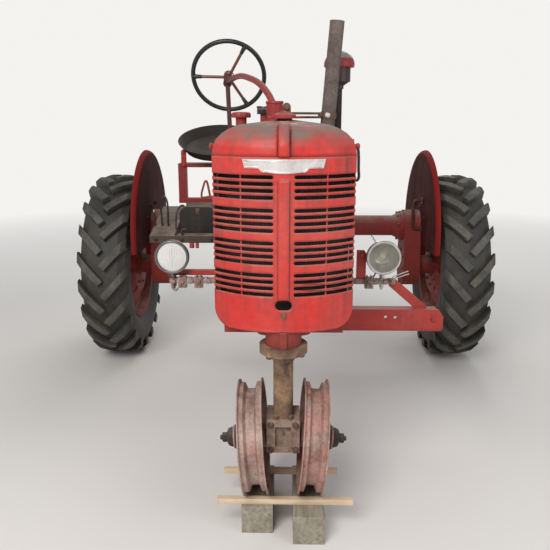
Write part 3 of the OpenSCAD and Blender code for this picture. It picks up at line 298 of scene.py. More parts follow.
def sawn_wood(n, i):
    """Wood with its grain along one axis, dark checks and dirt."""
    at = n.place()
    drawn = n.vector("MULTIPLY", at, i["Stretch"])
    grain = n.noise(drawn, 1.0, 7, 0.6, 0.6)
    fine = n.noise(drawn, 4.0, 4, 0.6)
    colour = n.mix(n.ranged(grain, 0.32, 0.68), i["Dark"], i["Light"])
    colour = n.mix(n.ranged(fine, 0.45, 0.75, 0.0, 0.35), colour, i["Dark"])
    patch = n.masks(n.ranged(n.noise(at, 16, 6, 0.65), 0.42, 0.68), i["Dirt amount"])
    return n.mix(patch, colour, i["Dirt"]), n.ranged(grain, 0.2, 0.8, 0.92, 0.74), {
        "Height": n.maths("ADD", grain, fine), "Strength": 0.5, "Distance": 1.0 * MM}


def tarnished_metal(n, i):
    """Bright metal, black enamel or glass dulled by dust, fingers and fine scratches."""
    at = n.place()
    cloud = n.ranged(n.noise(at, 22, 7, 0.65, 0.3), 0.35, 0.68)
    fine = n.noise(at, 210, 5, 0.7)
    amount = n.masks(cloud, i["Tarnish amount"], n.ranged(fine, 0.3, 0.6, 0.5, 1.0))
    dust = n.masks(n.lying(), i["Dust amount"])
    rough = n.raised(n.ranged(amount, 0, 1, 0.30, 0.62), (dust, 0.4))
    return n.mix(dust, n.mix(amount, i["Metal"], i["Tarnish"]), i["Dust"]), rough, {
        "Height": fine, "Strength": 0.14, "Distance": 0.6 * MM}


def radiator_core(n, i):
    """Upright tubes and fine fins with painted shade between them, clogged with dust and chaff."""
    at = n.place()
    fins = n.maths("SINE", n.maths("MULTIPLY", n.along(at, "Z"), math.tau / FIN_PITCH))
    tubes = n.maths("SINE", n.maths("MULTIPLY", n.along(at, "X"), math.tau / TUBE_PITCH))
    crest = n.maths("MAXIMUM", n.ranged(fins, 0.1, 0.9), n.ranged(tubes, 0.55, 0.9))
    chaff = n.masks(n.ranged(n.noise(at, 24, 7, 0.7), 0.48, 0.68),
                    n.ranged(n.noise(at, 170, 4, 0.6), 0.40, 0.60), i["Chaff amount"])
    # Between the fins and tubes the colour is near black: painted shade in the gaps.
    return n.mix(chaff, n.mix(crest, i["Gap"], i["Fin"]), i["Chaff"]), n.ranged(
        chaff, 0, 1, 0.55, 0.95), {"Height": crest, "Strength": 0.6, "Distance": 1.5 * MM}


# Effects: node group, its function, and its inputs with their defaults. None stands for a colour
# and a word for one of the panel's colours.
EFFECTS = {
    "paint": ("Weathered paint", weathered_paint, {
        "Paint": None, "Faded": None, "Fading": 0.5, "Chips": 0.5, "Edge wear and sheen": 0.6,
        "Dust amount": 0.5, "Grime": 0.4, "Gloss roughness": 0.42, "Dust": "dust",
        "Bare colour": "rust", "Rounding": 0.003}),
    "iron": ("Rusty iron", rusty_iron, {
        "Dark": None, "Light": None, "Paint": None, "Paint left": 0.3, "Dust amount": 0.4,
        "Dust": "dust"}),
    "metal": ("Tarnished metal", tarnished_metal, {
        "Metal": None, "Tarnish": None, "Tarnish amount": 0.5, "Dust amount": 0.3,
        "Dust": "dust"}),
    "rubber": ("Old rubber", old_rubber, {
        "Rubber": None, "Dust": None, "Dust amount": 0.5, "Axle height": 0.54,
        "Tread radius": 0.50}),
    "wood": ("Sawn wood", sawn_wood, {
        "Light": None, "Dark": None, "Dirt": None, "Dirt amount": 0.4, "Stretch": (60, 3, 60)}),
    "core": ("Radiator core", radiator_core, {
        "Fin": None, "Gap": None, "Chaff": None, "Chaff amount": 0.5}),
}

# Finishes: effect, material, metallic, specular level, then the effect's inputs in their order,
# where those left out keep their defaults. A word stands for one of the panel's colours.
FINISHES = {
    # The grille's pale bare colour marks worn edges and chips, and is partly a painted highlight
    # along the edges of its bars and slots.
    "shell": ("paint", "Grille paint", 0, 0.45, "bright", "faded", 0.75, 0.3, 0.6, 0.8, 1.0, 0.34,
              "dust", (0.36, 0.2, 0.17), 0.012),
    "hood": ("paint", "Hood paint", 0, 0.45, "bright", "faded", 0.7, 0.36, 0.6, 1.6, 1.0, 0.38,
             (0.185, 0.135, 0.112), "rust", 0.02),
    "caps": ("paint", "Cap paint", 0, 0.4, (0.33, 0.026, 0.028), "faded", 0.3, 0.5, 0.8, 0.8, 0.6,
             0.45, (0.22, 0.15, 0.12)),
    "dull": ("paint", "Engine paint", 0, 0.35, "dull", (0.24, 0.055, 0.042), 0.6, 0.6, 0.7, 0.75,
             0.9, 0.6),
    "housing": ("paint", "Driveline paint", 0, 0.3, (0.25, 0.024, 0.02), (0.16, 0.04, 0.032), 0.7,
                0.5, 0.7, 0.85, 0.8, 0.6),
    "fender": ("paint", "Fender paint", 0, 0.08, (0.06, 0.009, 0.008), (0.032, 0.015, 0.012), 0.9,
               0.6, 0.5, 0.25, 1.0, 0.75),
    "control": ("paint", "Control paint", 0, 0.35, (0.3, 0.026, 0.024), (0.34, 0.07, 0.058), 0.4,
                0.5, 0.8, 0.7, 0.7, 0.5),
    "column": ("paint", "Column paint", 0, 0.35, (0.29, 0.02, 0.023), (0.3, 0.05, 0.046), 0.4, 0.5,
               0.7, 0.9, 0.6, 0.45, (0.18, 0.12, 0.08)),
    "carrier": ("paint", "Carrier paint", 0, 0.4, (0.44, 0.034, 0.03), "faded", 0.6, 0.45, 0.7, 0.6,
                0.6, 0.45),
    "grey": ("paint", "Grey paint", 0, 0.15, (0.026, 0.024, 0.023), (0.044, 0.041, 0.038), 0.8, 0.4,
             0.6, 0.2, 0.4, 0.65),
    "dark": ("paint", "Dark paint", 0, 0.25, (0.02, 0.019, 0.018), (0.045, 0.04, 0.036), 0.7, 0.35,
             0.5, 0.7, 0.4, 0.6),
    "platform": ("paint", "Platform paint", 0, 0.5, (0.055, 0.035, 0.028), (0.12, 0.085, 0.06), 0.9,
                 0.7, 0.4, 0.9, 0.4, 0.7),
    "rim_left": ("iron", "Left rim", 0, 0.5, (0.23, 0.115, 0.082), (0.58, 0.44, 0.38),
                 (0.52, 0.21, 0.175), 0.8, 0.35),
    "rim_right": ("iron", "Right rim", 0, 0.5, (0.26, 0.15, 0.115), (0.7, 0.57, 0.5),
                  (0.5, 0.22, 0.18), 0.45, 0.45),
    "iron": ("iron", "Rusty casting", 0, 0.5, (0.075, 0.042, 0.026), (0.22, 0.145, 0.09),
             (0.25, 0.045, 0.034), 0.2, 0.6),
    "bar": ("iron", "Flaking bar", 0, 0.5, (0.17, 0.1, 0.08), (0.62, 0.51, 0.46),
            (0.42, 0.13, 0.11), 0.45, 0.7),
    "knuckle": ("iron", "Rusty knuckle", 0, 0.5, (0.21, 0.135, 0.1), (0.62, 0.48, 0.39),
                (0.36, 0.11, 0.085), 0.25, 0.7),
    "pedestal": ("iron", "Rusty column", 0, 0.5, (0.085, 0.055, 0.036), (0.46, 0.29, 0.165),
                 (0.24, 0.06, 0.042), 0.15, 0.6),
    "stack": ("iron", "Burnt rust", 0, 0.5, (0.085, 0.06, 0.054), (0.215, 0.178, 0.166),
              (0.11, 0.075, 0.07), 0.2, 0.3),
    "hub": ("iron", "Greasy hub", 0, 0.5, (0.014, 0.012, 0.011), (0.05, 0.04, 0.034),
            (0.03, 0.018, 0.014), 0.1, 0.3),
    "steel": ("metal", "Worn steel", 1, 0.5, (0.56, 0.55, 0.53), (0.2, 0.18, 0.16), 0.7, 0.45),
    "plate": ("metal", "Plain plate", 0.6, 0.5, (0.8, 0.78, 0.76), (0.42, 0.33, 0.3), 0.75, 0.3),
    "chrome": ("metal", "Old chrome", 1, 0.5, (0.7, 0.69, 0.67), (0.3, 0.28, 0.25), 0.6, 0.3),
    "bowl": ("metal", "Bowl grey", 0, 0.5, (0.34, 0.31, 0.29), (0.2, 0.165, 0.15), 0.9, 0.4),
    "knob": ("metal", "Pale knob", 0, 0.5, (0.62, 0.61, 0.58), (0.4, 0.37, 0.32), 0.5, 0.2),
    "black": ("metal", "Worn black", 0, 0.5, (0.02, 0.02, 0.02), (0.06, 0.055, 0.05), 0.7, 0.3),
    "wheel": ("metal", "Wheel rim black", 0, 0.5, (0.016, 0.016, 0.017), (0.07, 0.065, 0.06), 0.5,
              0.35),
    "lens_right": ("metal", "Fluted glass", 0, 0.5, (1.0, 1.0, 0.985), (0.8, 0.8, 0.788), 0.4, 0.1),
    "lens_left": ("metal", "Clear glass", 0, 0.5, (0.95, 0.95, 0.86), (0.76, 0.76, 0.688), 0.4,
                  0.1),
    "bulb": ("metal", "Bulb glass", 0, 0.5, (0.95, 0.94, 0.9), (0.76, 0.752, 0.72), 0.4, 0.1),
    "rubber": ("rubber", "Tread rubber", 0, 0.5, "rubber", (0.235, 0.215, 0.175), 0.85),
    "block": ("wood", "Weathered block", 0, 0.5, (0.43, 0.39, 0.3), (0.21, 0.185, 0.145),
              (0.13, 0.12, 0.09), 0.5, (70, 4, 70)),
    "batten": ("wood", "Pale batten", 0, 0.5, (0.8, 0.66, 0.48), (0.58, 0.42, 0.26),
               (0.42, 0.32, 0.22), 0.3, (4, 90, 90)),
    # The core's second colour is painted shade for the gaps between its fins and tubes.
    "core": ("core", "Radiator core", 0, 0.5, (0.034, 0.034, 0.035), (0.008, 0.008, 0.008),
             (0.085, 0.068, 0.052), 0.7),
}

# Glass finishes: transmission and roughness.
GLASS = {"lens_right": (0.28, 0.14), "lens_left": (0.94, 0.05), "bulb": (0.05, 0.15)}

NODES_OF_FINISH = {
    "shell": "grille_shell", "hood": "hood", "plate": "nose_plate", "caps": "filler_caps",
    "core": "radiator", "dark": "fan_drive air_cleaner magneto side_box", "iron": "manifold",
    "dull": "front_bolster engine_block cylinder_head oil_pan fuel_tank",
    "stack": "exhaust_stack", "bowl": "pre_cleaner", "platform": "platform",
    "housing": "clutch_housing gearbox_case axle_housing_left axle_housing_right drawbar"
               " final_drive_left final_drive_right rear_wheel_left rear_wheel_right",
    "control": "seat_support pedals", "grey": "seat_pan", "column": "steering_column",
    "fender": "fenders", "bar": "lamp_bar", "chrome": "lamps", "knob": "lamp_lenses",
    "carrier": "carrier_frame", "pedestal": "pedestal", "knuckle": "knuckle",
    "block": "stand_blocks", "batten": "battens", "rim_left": "front_rim_left",
    "rim_right": "front_rim_right", "rubber": "rear_tyre_left rear_tyre_right",
    "wheel": "steering_wheel"}
FINISH_OF_NODE = {node: name for name, nodes in NODES_OF_FINISH.items() for node in nodes.split()}

# Second colours: finish, centre, axes that count, where the border starts and ends, colour.
BOWL_TOP = (0, 0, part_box("pre_cleaner")[1].z)
SECOND_COLOURS = (
    ("fender", (0, AXLE_Y, 0.756), (0, 1, 1), 0.452, 0.462, (0.19, 0.017, 0.015)),
    ("wheel", WHEEL_HUB, (1, 1, 1), 0.020, 0.030, (0.17, 0.045, 0.032)),
    ("wheel", WHEEL_HUB, (1, 1, 1), 0.180, 0.186, (0.016, 0.016, 0.017)),
    ("chrome", (0.446, 0, 0), (1, 0, 0), 0.60, 0.62, (0.20, 0.19, 0.175)),
    ("column", (0, 0, 0), (1, 0, 0), 0.27, 0.31, (0.075, 0.026, 0.020)),
    ("bowl", BOWL_TOP, (0, 0, 1), 0.034, 0.042, (0.30, 0.030, 0.026)),
    ("bowl", BOWL_TOP, (0, 0, 1), 0.0745, 0.0765, (0.045, 0.022, 0.019)),
)


def panel_colour(value):
    """The panel's colour that a word stands for, or else the value itself."""
    return (*getattr(colours(), value), 1) if isinstance(value, str) else value


def shared_effect(name):
    """The node group of an effect, made when it is first asked for."""
    label, draw, inputs = EFFECTS[name]
    tree = bpy.data.node_groups.get(label)
    if tree:
        return tree
    tree = bpy.data.node_groups.new(label, "ShaderNodeTree")
    for socket, default in inputs.items():
        kind = {float: "Float", tuple: "Vector"}.get(type(default), "Color")
        made = tree.interface.new_socket(socket, in_out="INPUT", socket_type="NodeSocket" + kind)
        if default is not None:
            made.default_value = panel_colour(default)
    for socket, kind in (("Color", "Color"), ("Roughness", "Float"), ("Normal", "Vector")):
        tree.interface.new_socket(socket, in_out="OUTPUT", socket_type="NodeSocket" + kind)
    nodes = Nodes(tree)
    entry = tree.nodes.new("NodeGroupInput")
    leave = tree.nodes.new("NodeGroupOutput")
    colour, roughness, bump = draw(nodes, entry.outputs)
    nodes.join(colour, leave.inputs["Color"])
    nodes.join(roughness, leave.inputs["Roughness"])
    nodes.join(nodes.add("Bump", bump), leave.inputs["Normal"])
    return tree


def finish(name):
    """The material of a finish, made when it is first asked for."""
    effect, label, metallic, specular, *values = FINISHES[name]
    material = bpy.data.materials.get(label)
    if material:
        return material
    material = bpy.data.materials.new(label)
    material.use_nodes = True
    tree = material.node_tree
    nodes = Nodes(tree)
    shader = tree.nodes["Principled BSDF"]
    node = tree.nodes.new("ShaderNodeGroup")
    node.node_tree = shared_effect(effect)
    for value, socket in zip(values, node.inputs):
        nodes.join(panel_colour(value), socket)
    nodes.join(node.outputs["Color"], shader.inputs["Base Color"])
    nodes.join(node.outputs["Normal"], shader.inputs["Normal"])
    shader.inputs["Metallic"].default_value = metallic
    shader.inputs["Specular IOR Level"].default_value = specular
    if name in GLASS:
        shader.inputs["Transmission Weight"].default_value = GLASS[name][0]
        shader.inputs["Roughness"].default_value = GLASS[name][1]
        shader.inputs["IOR"].default_value = GLASS_IOR
    else:
        nodes.join(node.outputs["Roughness"], shader.inputs["Roughness"])
    return material


def by_distance(material, centre, counted, start, end, colour):
    """Mixes a colour in beyond a distance from a point, along the axes that count."""
    n = Nodes(material.node_tree)
    target = material.node_tree.nodes["Principled BSDF"].inputs["Base Color"]
    offset = n.vector("MULTIPLY", n.vector("SUBTRACT", n.place(), centre), counted)
    away = n.maths("MULTIPLY_ADD", n.noise(n.place(), 60, 5), (end - start) * 0.8,
                   n.vector("LENGTH", offset, out="Value"))
    n.join(n.mix(n.ranged(away, start, end), target.links[0].from_socket, colour), target)


# Mesh helpers. They take millimetres. A station is the distance ahead of the rear axle, and a
# vector or matrix is in metres, as in the scene.

SAME_PLACE = 0.001


@contextmanager
def piece(name, material, slot, smooth, body="chassis"):
    """Draws a piece in a bmesh, then gives it its finish and its body; the slot is not used."""
    bm = bmesh.new()
    yield bm
    mesh = bpy.data.meshes.new(name)
    bm.to_mesh(mesh)
    bm.free()
    mesh.materials.append(finish(material))
    mesh.shade_smooth()
    mesh.set_sharp_from_angle(angle=math.radians(smooth))
    made = bpy.data.objects.new(name, mesh)
    bpy.context.scene.collection.objects.link(made)
    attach(made, body)


def at(x, station, z):
    return Vector((x * MM, AXLE_Y - station * MM, z * MM))


def facing(place, way, spin=0.0):
    """Matrix that puts a part drawn along +Z at a place, along a direction."""
    turn = Vector(way).normalized().to_track_quat("Z", "Y").to_matrix().to_4x4()
    return Matrix.Translation(Vector(place)) @ turn @ Matrix.Rotation(spin, 4, "Z")


def aimed(x, station, z, way, spin=0.0):
    """The same for a place given in millimetres."""
    return facing(at(x, station, z), way, spin)


def seated(place, way, reach=0.03):
    """Where the frame's surface lies under a place, looking back along a direction."""
    way = Vector(way).normalized()
    start = Vector(place) + way * reach
    gaps = []
    for node in frame["nodes"].values():
        if node.hide_viewport:
            continue
        back = node.matrix_world.inverted()
        hit, spot, _, _ = node.ray_cast(back @ start, back.to_3x3() @ -way, distance=2 * reach)
        if hit:
            gaps.append((node.matrix_world @ spot - start).length)
    if not gaps:
        raise RuntimeError(f"nothing lies under {tuple(place)}")
    return start - way * min(gaps)


def on_surface(place, way, spin):
    """Matrix of a part that stands on the frame's surface under a place."""
    return facing(seated(place, way), way, spin)


def ring_places(centre, way, radius, count, start=0.0):
    """Places on a circle round an axis, each facing along it."""
    base = facing(centre, way)
    return [base @ Matrix.Rotation(start + math.tau * k / count, 4, "Z")
            @ Matrix.Translation((radius * MM, 0, 0)) for k in range(count)]


def placed(bm, part, place=None):
    """Moves a finished part to its place and joins it to the piece."""
    bmesh.ops.recalc_face_normals(part, faces=part.faces)
    if place is not None:
        bmesh.ops.transform(part, matrix=place, verts=part.verts)
    mesh = bpy.data.meshes.new("part")
    part.to_mesh(mesh)
    part.free()
    bm.from_mesh(mesh)
    bpy.data.meshes.remove(mesh)


def soften(part, edges, width, segments=2):
    bmesh.ops.bevel(part, geom=edges, offset=width * MM, offset_type="OFFSET", segments=segments,
                    profile=0.5, affect="EDGES", clamp_overlap=True, material=-1)


def add_turned(bm, place, profile, steps=32):
    """Turned part from (radius, height) points round +Z, its open ends closed."""
    first, last = profile[0], profile[-1]
    if first[0] > 0 and last[0] == 0:
        profile = [(0, first[1])] + profile
    elif first[0] > 0 and math.dist(first, last) > SAME_PLACE:
        profile = profile + [first]
    part = bmesh.new()
    verts = [part.verts.new((r * MM, 0, z * MM)) for r, z in profile]
    edges = [part.edges.new(pair) for pair in zip(verts, verts[1:])]
    bmesh.ops.spin(part, geom=verts + edges, cent=(0, 0, 0), axis=(0, 0, 1), dvec=(0, 0, 0),
                   angle=math.tau, steps=steps, use_merge=True, use_duplicate=False)
    bmesh.ops.remove_doubles(part, verts=part.verts, dist=SAME_PLACE * MM)
    placed(bm, part, place)


def add_band(bm, place, inner, outer, width, steps):
    add_turned(bm, place, [(inner, 0), (outer, 0), (outer, width), (inner, width), (inner, 0)],
               steps)


def add_block(bm, low, high, bevel, place=None):
    """Box between two corners, its edges rounded, in a place's own axes where one is given."""
    low, high = [at(*p) if place is None else Vector(p) * MM for p in (low, high)]
    part = bmesh.new()
    bmesh.ops.create_cube(part, size=1.0)
    bmesh.ops.scale(part, vec=[abs(v) for v in high - low], verts=part.verts)
    bmesh.ops.translate(part, vec=(low + high) / 2, verts=part.verts)
    soften(part, list(part.edges), bevel)
    placed(bm, part, place)


def extruded(part, face):
    """Extrudes a face where it is and gives the new one. A lone face stays as the other end."""
    made = bmesh.ops.extrude_face_region(part, geom=[face, *face.edges])["geom"]
    return next(item for item in made if isinstance(item, bmesh.types.BMFace))


def add_plate(bm, place, outline, thickness):
    """Flat plate from an outline in the XY plane, raised along +Z."""
    part = bmesh.new()
    foot = part.faces.new([part.verts.new((x * MM, y * MM, 0)) for x, y in outline])
    top = extruded(part, foot)
    bmesh.ops.translate(part, vec=(0, 0, thickness * MM), verts=list(top.verts))
    soften(part, list(top.edges), 1)
    placed(bm, part, place)


def add_eye(bm, place, half, foot, height, thickness):
    """Upright plate with a round top."""
    top = [(half * math.cos(math.pi * k / 8), height + half * math.sin(math.pi * k / 8))
           for k in range(9)]
    add_plate(bm, place, [(half, foot)] + top + [(-half, foot)], thickness)


def add_bolt(bm, place, width, shank=0, washer=True):
    """Hexagon head, with its washer and the end of its shank, drawn along +Z from the seat."""
    base = width * 0.10 if washer else 0
    if washer:
        add_turned(bm, place, [(0, 0), (width * 0.68, 0), (width * 0.68, base), (0, base)], 14)
    corner, height = width / math.sqrt(3) * MM, width * 0.62 * MM
    part = bmesh.new()
    bmesh.ops.create_cone(part, cap_ends=True, segments=6, radius1=corner, radius2=corner,
                          depth=height)
    top = [e for e in part.edges if all(v.co.z > 0 for v in e.verts)]
    bmesh.ops.translate(part, vec=(0, 0, base * MM + height / 2), verts=part.verts)
    soften(part, top, width * 0.07, 1)
    placed(bm, part, place)
    if shank:
        end = base + width * 0.62 + shank
        add_turned(bm, place, [(0, base), (width * 0.28, base), (width * 0.28, end - 1),
                               (width * 0.22, end), (0, end)], 10)


def smooth_path(points, samples):
    """Points of a smooth line through the given ones."""
    knots = [2 * points[0] - points[1]] + points + [2 * points[-1] - points[-2]]
    path = []
    for p, q, r, t in zip(knots, knots[1:], knots[2:], knots[3:]):
        for k in range(samples):
            f = k / samples
            path.append(0.5 * (2 * q + (r - p) * f + (2 * p - 5 * q + 4 * r - t) * f ** 2
                               + (3 * q - p - 3 * r + t) * f ** 3))
    return path + [points[-1]]


def add_rod(bm, radius, points, sides=8, samples=6):
    """Round rod along a smooth line through vectors or (x, station, z), closed at its ends."""
    path = smooth_path([p if isinstance(p, Vector) else at(*p) for p in points], samples)
    across = (path[1] - path[0]).orthogonal().normalized()
    rings = []
    for k, centre in enumerate(path):
        along = (path[min(k + 1, len(path) - 1)] - path[max(k - 1, 0)]).normalized()
        across = (across - along * across.dot(along)).normalized()
        turn = Matrix((across, along.cross(across), along)).transposed()
        rings.append(Matrix.Translation(centre) @ turn.to_4x4())
    part = bmesh.new()
    bmesh.ops.create_circle(part, cap_ends=True, segments=sides, radius=radius * MM,
                            matrix=rings[0] @ Matrix.Rotation(-math.pi / 2, 4, "Z"))
    end = next(iter(part.faces))
    for before, after in zip(rings, rings[1:]):
        end = extruded(part, end)
        bmesh.ops.transform(part, matrix=after @ before.inverted(), verts=list(end.verts))
    placed(bm, part)


# Operators.


class TRACTOR_OT_finishes(bpy.types.Operator):
    """Gives every part of the frame its finish"""

    bl_idname = "tractor.finishes"
    bl_label = "Finishes"

    def execute(self, context):
        for name, *border in SECOND_COLOURS:
            by_distance(finish(name), *border)
        for name, node in frame["nodes"].items():
            node.data.materials.clear()
            node.data.materials.append(finish(FINISH_OF_NODE[name]))
        return {"FINISHED"}


class TRACTOR_OT_camera(bpy.types.Operator):
    """Sets the camera in front of the tractor"""

    bl_idname = "tractor.camera"
    bl_label = "Camera"

    def execute(self, context):
        s = sizes()
        data = bpy.data.cameras.new("Camera")
        data.lens = CAMERA_LENS
        camera = bpy.data.objects.new("Camera", data)
        context.scene.collection.objects.link(camera)
        camera.location = (CAMERA_SIDE, AXLE_Y - s.camera_distance, s.camera_height)
        camera.rotation_euler = (math.pi / 2 - s.camera_pitch, 0, CAMERA_TURN)
        context.scene.camera = camera
        return {"FINISHED"}


class TRACTOR_OT_stage(bpy.types.Operator):
    """Lays a plain pale floor and sets soft light"""

    bl_idname = "tractor.stage"
    bl_label = "Stage"

    def execute(self, context):
        scene = context.scene
        scene.view_settings.view_transform = "Standard"
        mesh = bpy.data.meshes.new("floor")
        bm = bmesh.new()
        bmesh.ops.create_grid(bm, x_segments=1, y_segments=1, size=30)
        bm.to_mesh(mesh)
        bm.free()
        floor = bpy.data.objects.new("floor", mesh)
        scene.collection.objects.link(floor)
        material = bpy.data.materials.new("Plain floor")
        material.use_nodes = True
        n = Nodes(material.node_tree)
        shader = material.node_tree.nodes["Principled BSDF"]
        # Far off, the floor takes on the pale of the room.
        far = n.ranged(n.vector("LENGTH", n.place(), out="Value"), 2.6, 7.5)
        n.join(n.mix(far, FLOOR_COLOUR, (0, 0, 0)), shader.inputs["Base Color"])
        n.join(n.mix(far, (0, 0, 0), PALE_ROOM), shader.inputs["Emission Color"])
        shader.inputs["Emission Strength"].default_value = 1.0
        shader.inputs["Roughness"].default_value = 0.85
        shader.inputs["Specular IOR Level"].default_value = 0.0
        mesh.materials.append(material)

        world = bpy.data.worlds.new("Plain room")
        scene.world = world
        world.use_nodes = True
        world.node_tree.nodes.clear()
        n = Nodes(world.node_tree)
        seen = n.maths("MAXIMUM", n.add("LightPath", out="Is Camera Ray"),
                       n.add("LightPath", out="Is Transmission Ray"))
        soft = n.add("Background", {"Color": SOFT_SKY, "Strength": 0.42})
        plain = n.add("Background", {"Color": PALE_ROOM, "Strength": 1.0})
        surface = world.node_tree.nodes.new("ShaderNodeOutputWorld").inputs["Surface"]
        n.join(n.add("MixShader", {0: seen, 1: soft, 2: plain}), surface)

        for name, place, target, size, power, tint in LIGHTS:
            light = bpy.data.lights.new(name, "AREA")
            light.size = size
            light.energy = power
            light.color = tint
            lamp = bpy.data.objects.new(name, light)
            scene.collection.objects.link(lamp)
            lamp.location = place
            way = Vector(target) - Vector(place)
            lamp.rotation_euler = way.to_track_quat("-Z", "Y").to_euler()
        return {"FINISHED"}


LAMP_SIDES = {"right": -510, "left": 446}
LAMP_STATION = (AXLE_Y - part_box("lamps")[0].y) / MM
LAMP_Z = middle("lamp_lenses").z / MM
LENS_R = 69.2
LENS_BACK = 2.5
LENS_DOME = 7
FLUTE_DEPTH = {"right": 2.0, "left": 0.4}


def add_lens(bm, place, flute):
    """Domed lens with upright flutes on its front."""
    part = bmesh.new()
    add_turned(part, Matrix(), [(LENS_R * k / 10, LENS_BACK) for k in range(11)] + [
        (LENS_R * k / 14, -LENS_DOME * (1 - (k / 14) ** 2)) for k in range(14, -1, -1)], 80)
    for vert in part.verts:
        if vert.co.z < (LENS_BACK - 0.5) * MM:
            wave = math.cos(math.pi * sizes().flutes * vert.co.x / (LENS_R * MM))
            edge = 1 - min(1, vert.co.xy.length / (LENS_R * MM)) ** 6
            vert.co.z -= flute * MM * wave * edge
    placed(bm, part, place)


class TRACTOR_OT_lamps(bpy.types.Operator):
    """Makes the lamps' lenses and bulbs, their rims' beads, and their clamp screws and nuts"""

    bl_idname = "tractor.lamps"
    bl_label = "Lamps"

    def execute(self, context):
        y, z = LAMP_STATION, LAMP_Z
        for side, x in LAMP_SIDES.items():
            name = f"lamp_lens_{side}"
            with piece(name, "lens_" + side, "lens_glass", 60) as bm:
                add_lens(bm, aimed(x, y - 6.6, z, BACK), FLUTE_DEPTH[side])
            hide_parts("lamp_lenses")

            with piece(f"lamp_bulb_{side}", "bulb", "lens_glass", 50) as bm:
                add_turned(bm, aimed(x, y - 66, z, AHEAD), [
                    (0, 0), (10, 0), (10, 12), (7.2, 14), (7.8, 19), (10.5, 27), (10.8, 33),
                    (8.5, 40), (4.5, 43.5), (0, 44.5)], 24)

            with piece(f"lamp_trim_{side}", "chrome", "worn_steel", 40) as bm:
                add_turned(bm, aimed(x, y - 4.5, z, BACK), [
                    (LENS_R + 1.5 + 5.2 * math.cos(math.tau * k / 10),
                     5.2 * math.sin(math.tau * k / 10)) for k in range(11)], 64)
                add_block(bm, (x - 7, y - 2, z - 91), (x + 7, y - 18, z - 77), 2)
                add_bolt(bm, aimed(x, y - 2, z - 85, AHEAD), 8, washer=False)
                add_bolt(bm, aimed(x, y - 46, z - 130, DOWN), 21, 12)
                add_bolt(bm, aimed(x, y - 46, z - 106, UP), 21)
        return {"FINISHED"}


# Rings of bolts: body, finish, centre, direction, ring radius, count, first angle, width.
BOLT_RINGS = [
    ("steered_front", "iron", (0, 1806, 646), DOWN, 64, 6, 0.3, 19),
    ("chassis", "housing", (0, -234, 680), BACK, 45, 6, 0.0, 13),
]
for s, rear_wheel in ((1, "rear_wheel_left"), (-1, "rear_wheel_right")):
    BOLT_RINGS += [
        ("chassis", "housing", (s * 157, 0, 780), (s, 0, 0), 98, 8, 0.39, 17),
        ("chassis", "housing", (s * 684, 0, 780), (-s, 0, 0), 76, 8, 0.2, 15),
        ("chassis", "housing", (s * 704, 0, 540), (-s, 0, 0), 100, 9, 0.0, 15),
        (rear_wheel, "housing", (s * 900, 0, 540), (s, 0, 0), 100, 6, 0.0, 22),
        (rear_wheel, "housing", (s * 984, 0, 540), (s, 0, 0), 28, 4, 0.4, 17),
        (rear_wheel, "housing", (s * 890, 0, 540), (-s, 0, 0), 120, 8, 0.2, 16),
    ]

# Single bolts of the chassis: finish, direction, width, sides, and the places (station, z) that
# have one on each of these sides.
BOLTS = (
    ("housing", UP, 14, (-96, 96), [(s, 914) for s in (-40, 20, 85, 150)]),
    ("dull", UP, 15, (-90, 90), [(1410 - 120 * k, 1055) for k in range(5)]),
    ("steel", UP, 13, (0,), [(900, 1113), (1340, 1113)]),
    ("carrier", LEFT, 19, (151,), [(s, z) for s in (925, 1015) for z in (590, 730)]),
    ("iron", RIGHT, 17, (-149,), [(948, 700), (1020, 700)]),
    ("carrier", AHEAD, 17, (690,), [(1000, 505)]),
    ("iron", AHEAD, 15, (480,), [(972, 690)]),
    ("fender", RIGHT, 15, (800,), [(70, 905), (-70, 905), (170, 850), (-170, 850)]),
    ("fender", LEFT, 15, (-800,), [(70, 905), (-70, 905), (170, 850), (-170, 850)]),
    ("platform", UP, 13, (-560, -200), [(400, 790), (130, 790)]),
    ("iron", AHEAD, 15, (0,), [(1870, 788)]),
    ("dull", LEFT, 17, (141,), [(s, z) for s in (1350, 1420, 1520) for z in (690, 750)]),
    ("dull", RIGHT, 17, (-141,), [(s, z) for s in (1350, 1420, 1520) for z in (690, 750)]),
    ("dull", RIGHT, 13, (-125,), [(1360 - 94 * k, z) for k in (0, 2, 4, 5) for z in (858, 934)]),
    ("dark", AHEAD, 15, (-700, -560, -400, -230), [(438, 770)]),
    ("dull", DOWN, 12, (-117, 117), [(850 + 78 * k, 652) for k in range(8)]),
    ("housing", AHEAD, 15, (-138, 138), [(330, z) for z in (650, 720, 790, 850)]),
)
BOLT_SLOTS = {"iron": "rusty_iron", "steel": "worn_steel", "carrier": "bright_paint"}


class TRACTOR_OT_bolts(bpy.types.Operator):
    """Makes the hexagon bolts of the castings and plates"""

    bl_idname = "tractor.bolts"
    bl_label = "Bolts"

    def execute(self, context):
        # All bolts of one finish on one body are one piece.
        groups = {}
        for body, name, centre, way, radius, count, start, width in BOLT_RINGS:
            groups.setdefault((body, name), []).extend(
                (place.translation, way, width)
                for place in ring_places(at(*centre), way, radius, count, start))
        for name, way, width, sides, spots in BOLTS:
            groups.setdefault(("chassis", name), []).extend(
                (at(x, station, z), way, width) for x in sides for station, z in spots)
        for (body, name), bolts in groups.items():
            slot = BOLT_SLOTS.get(name, "dull_paint")
            with piece(f"bolts_{body}_{name}", name, slot, 30, body) as bm:
                for place, way, width in bolts:
                    add_bolt(bm, on_surface(place, way, 0.4), width)
        return {"FINISHED"}


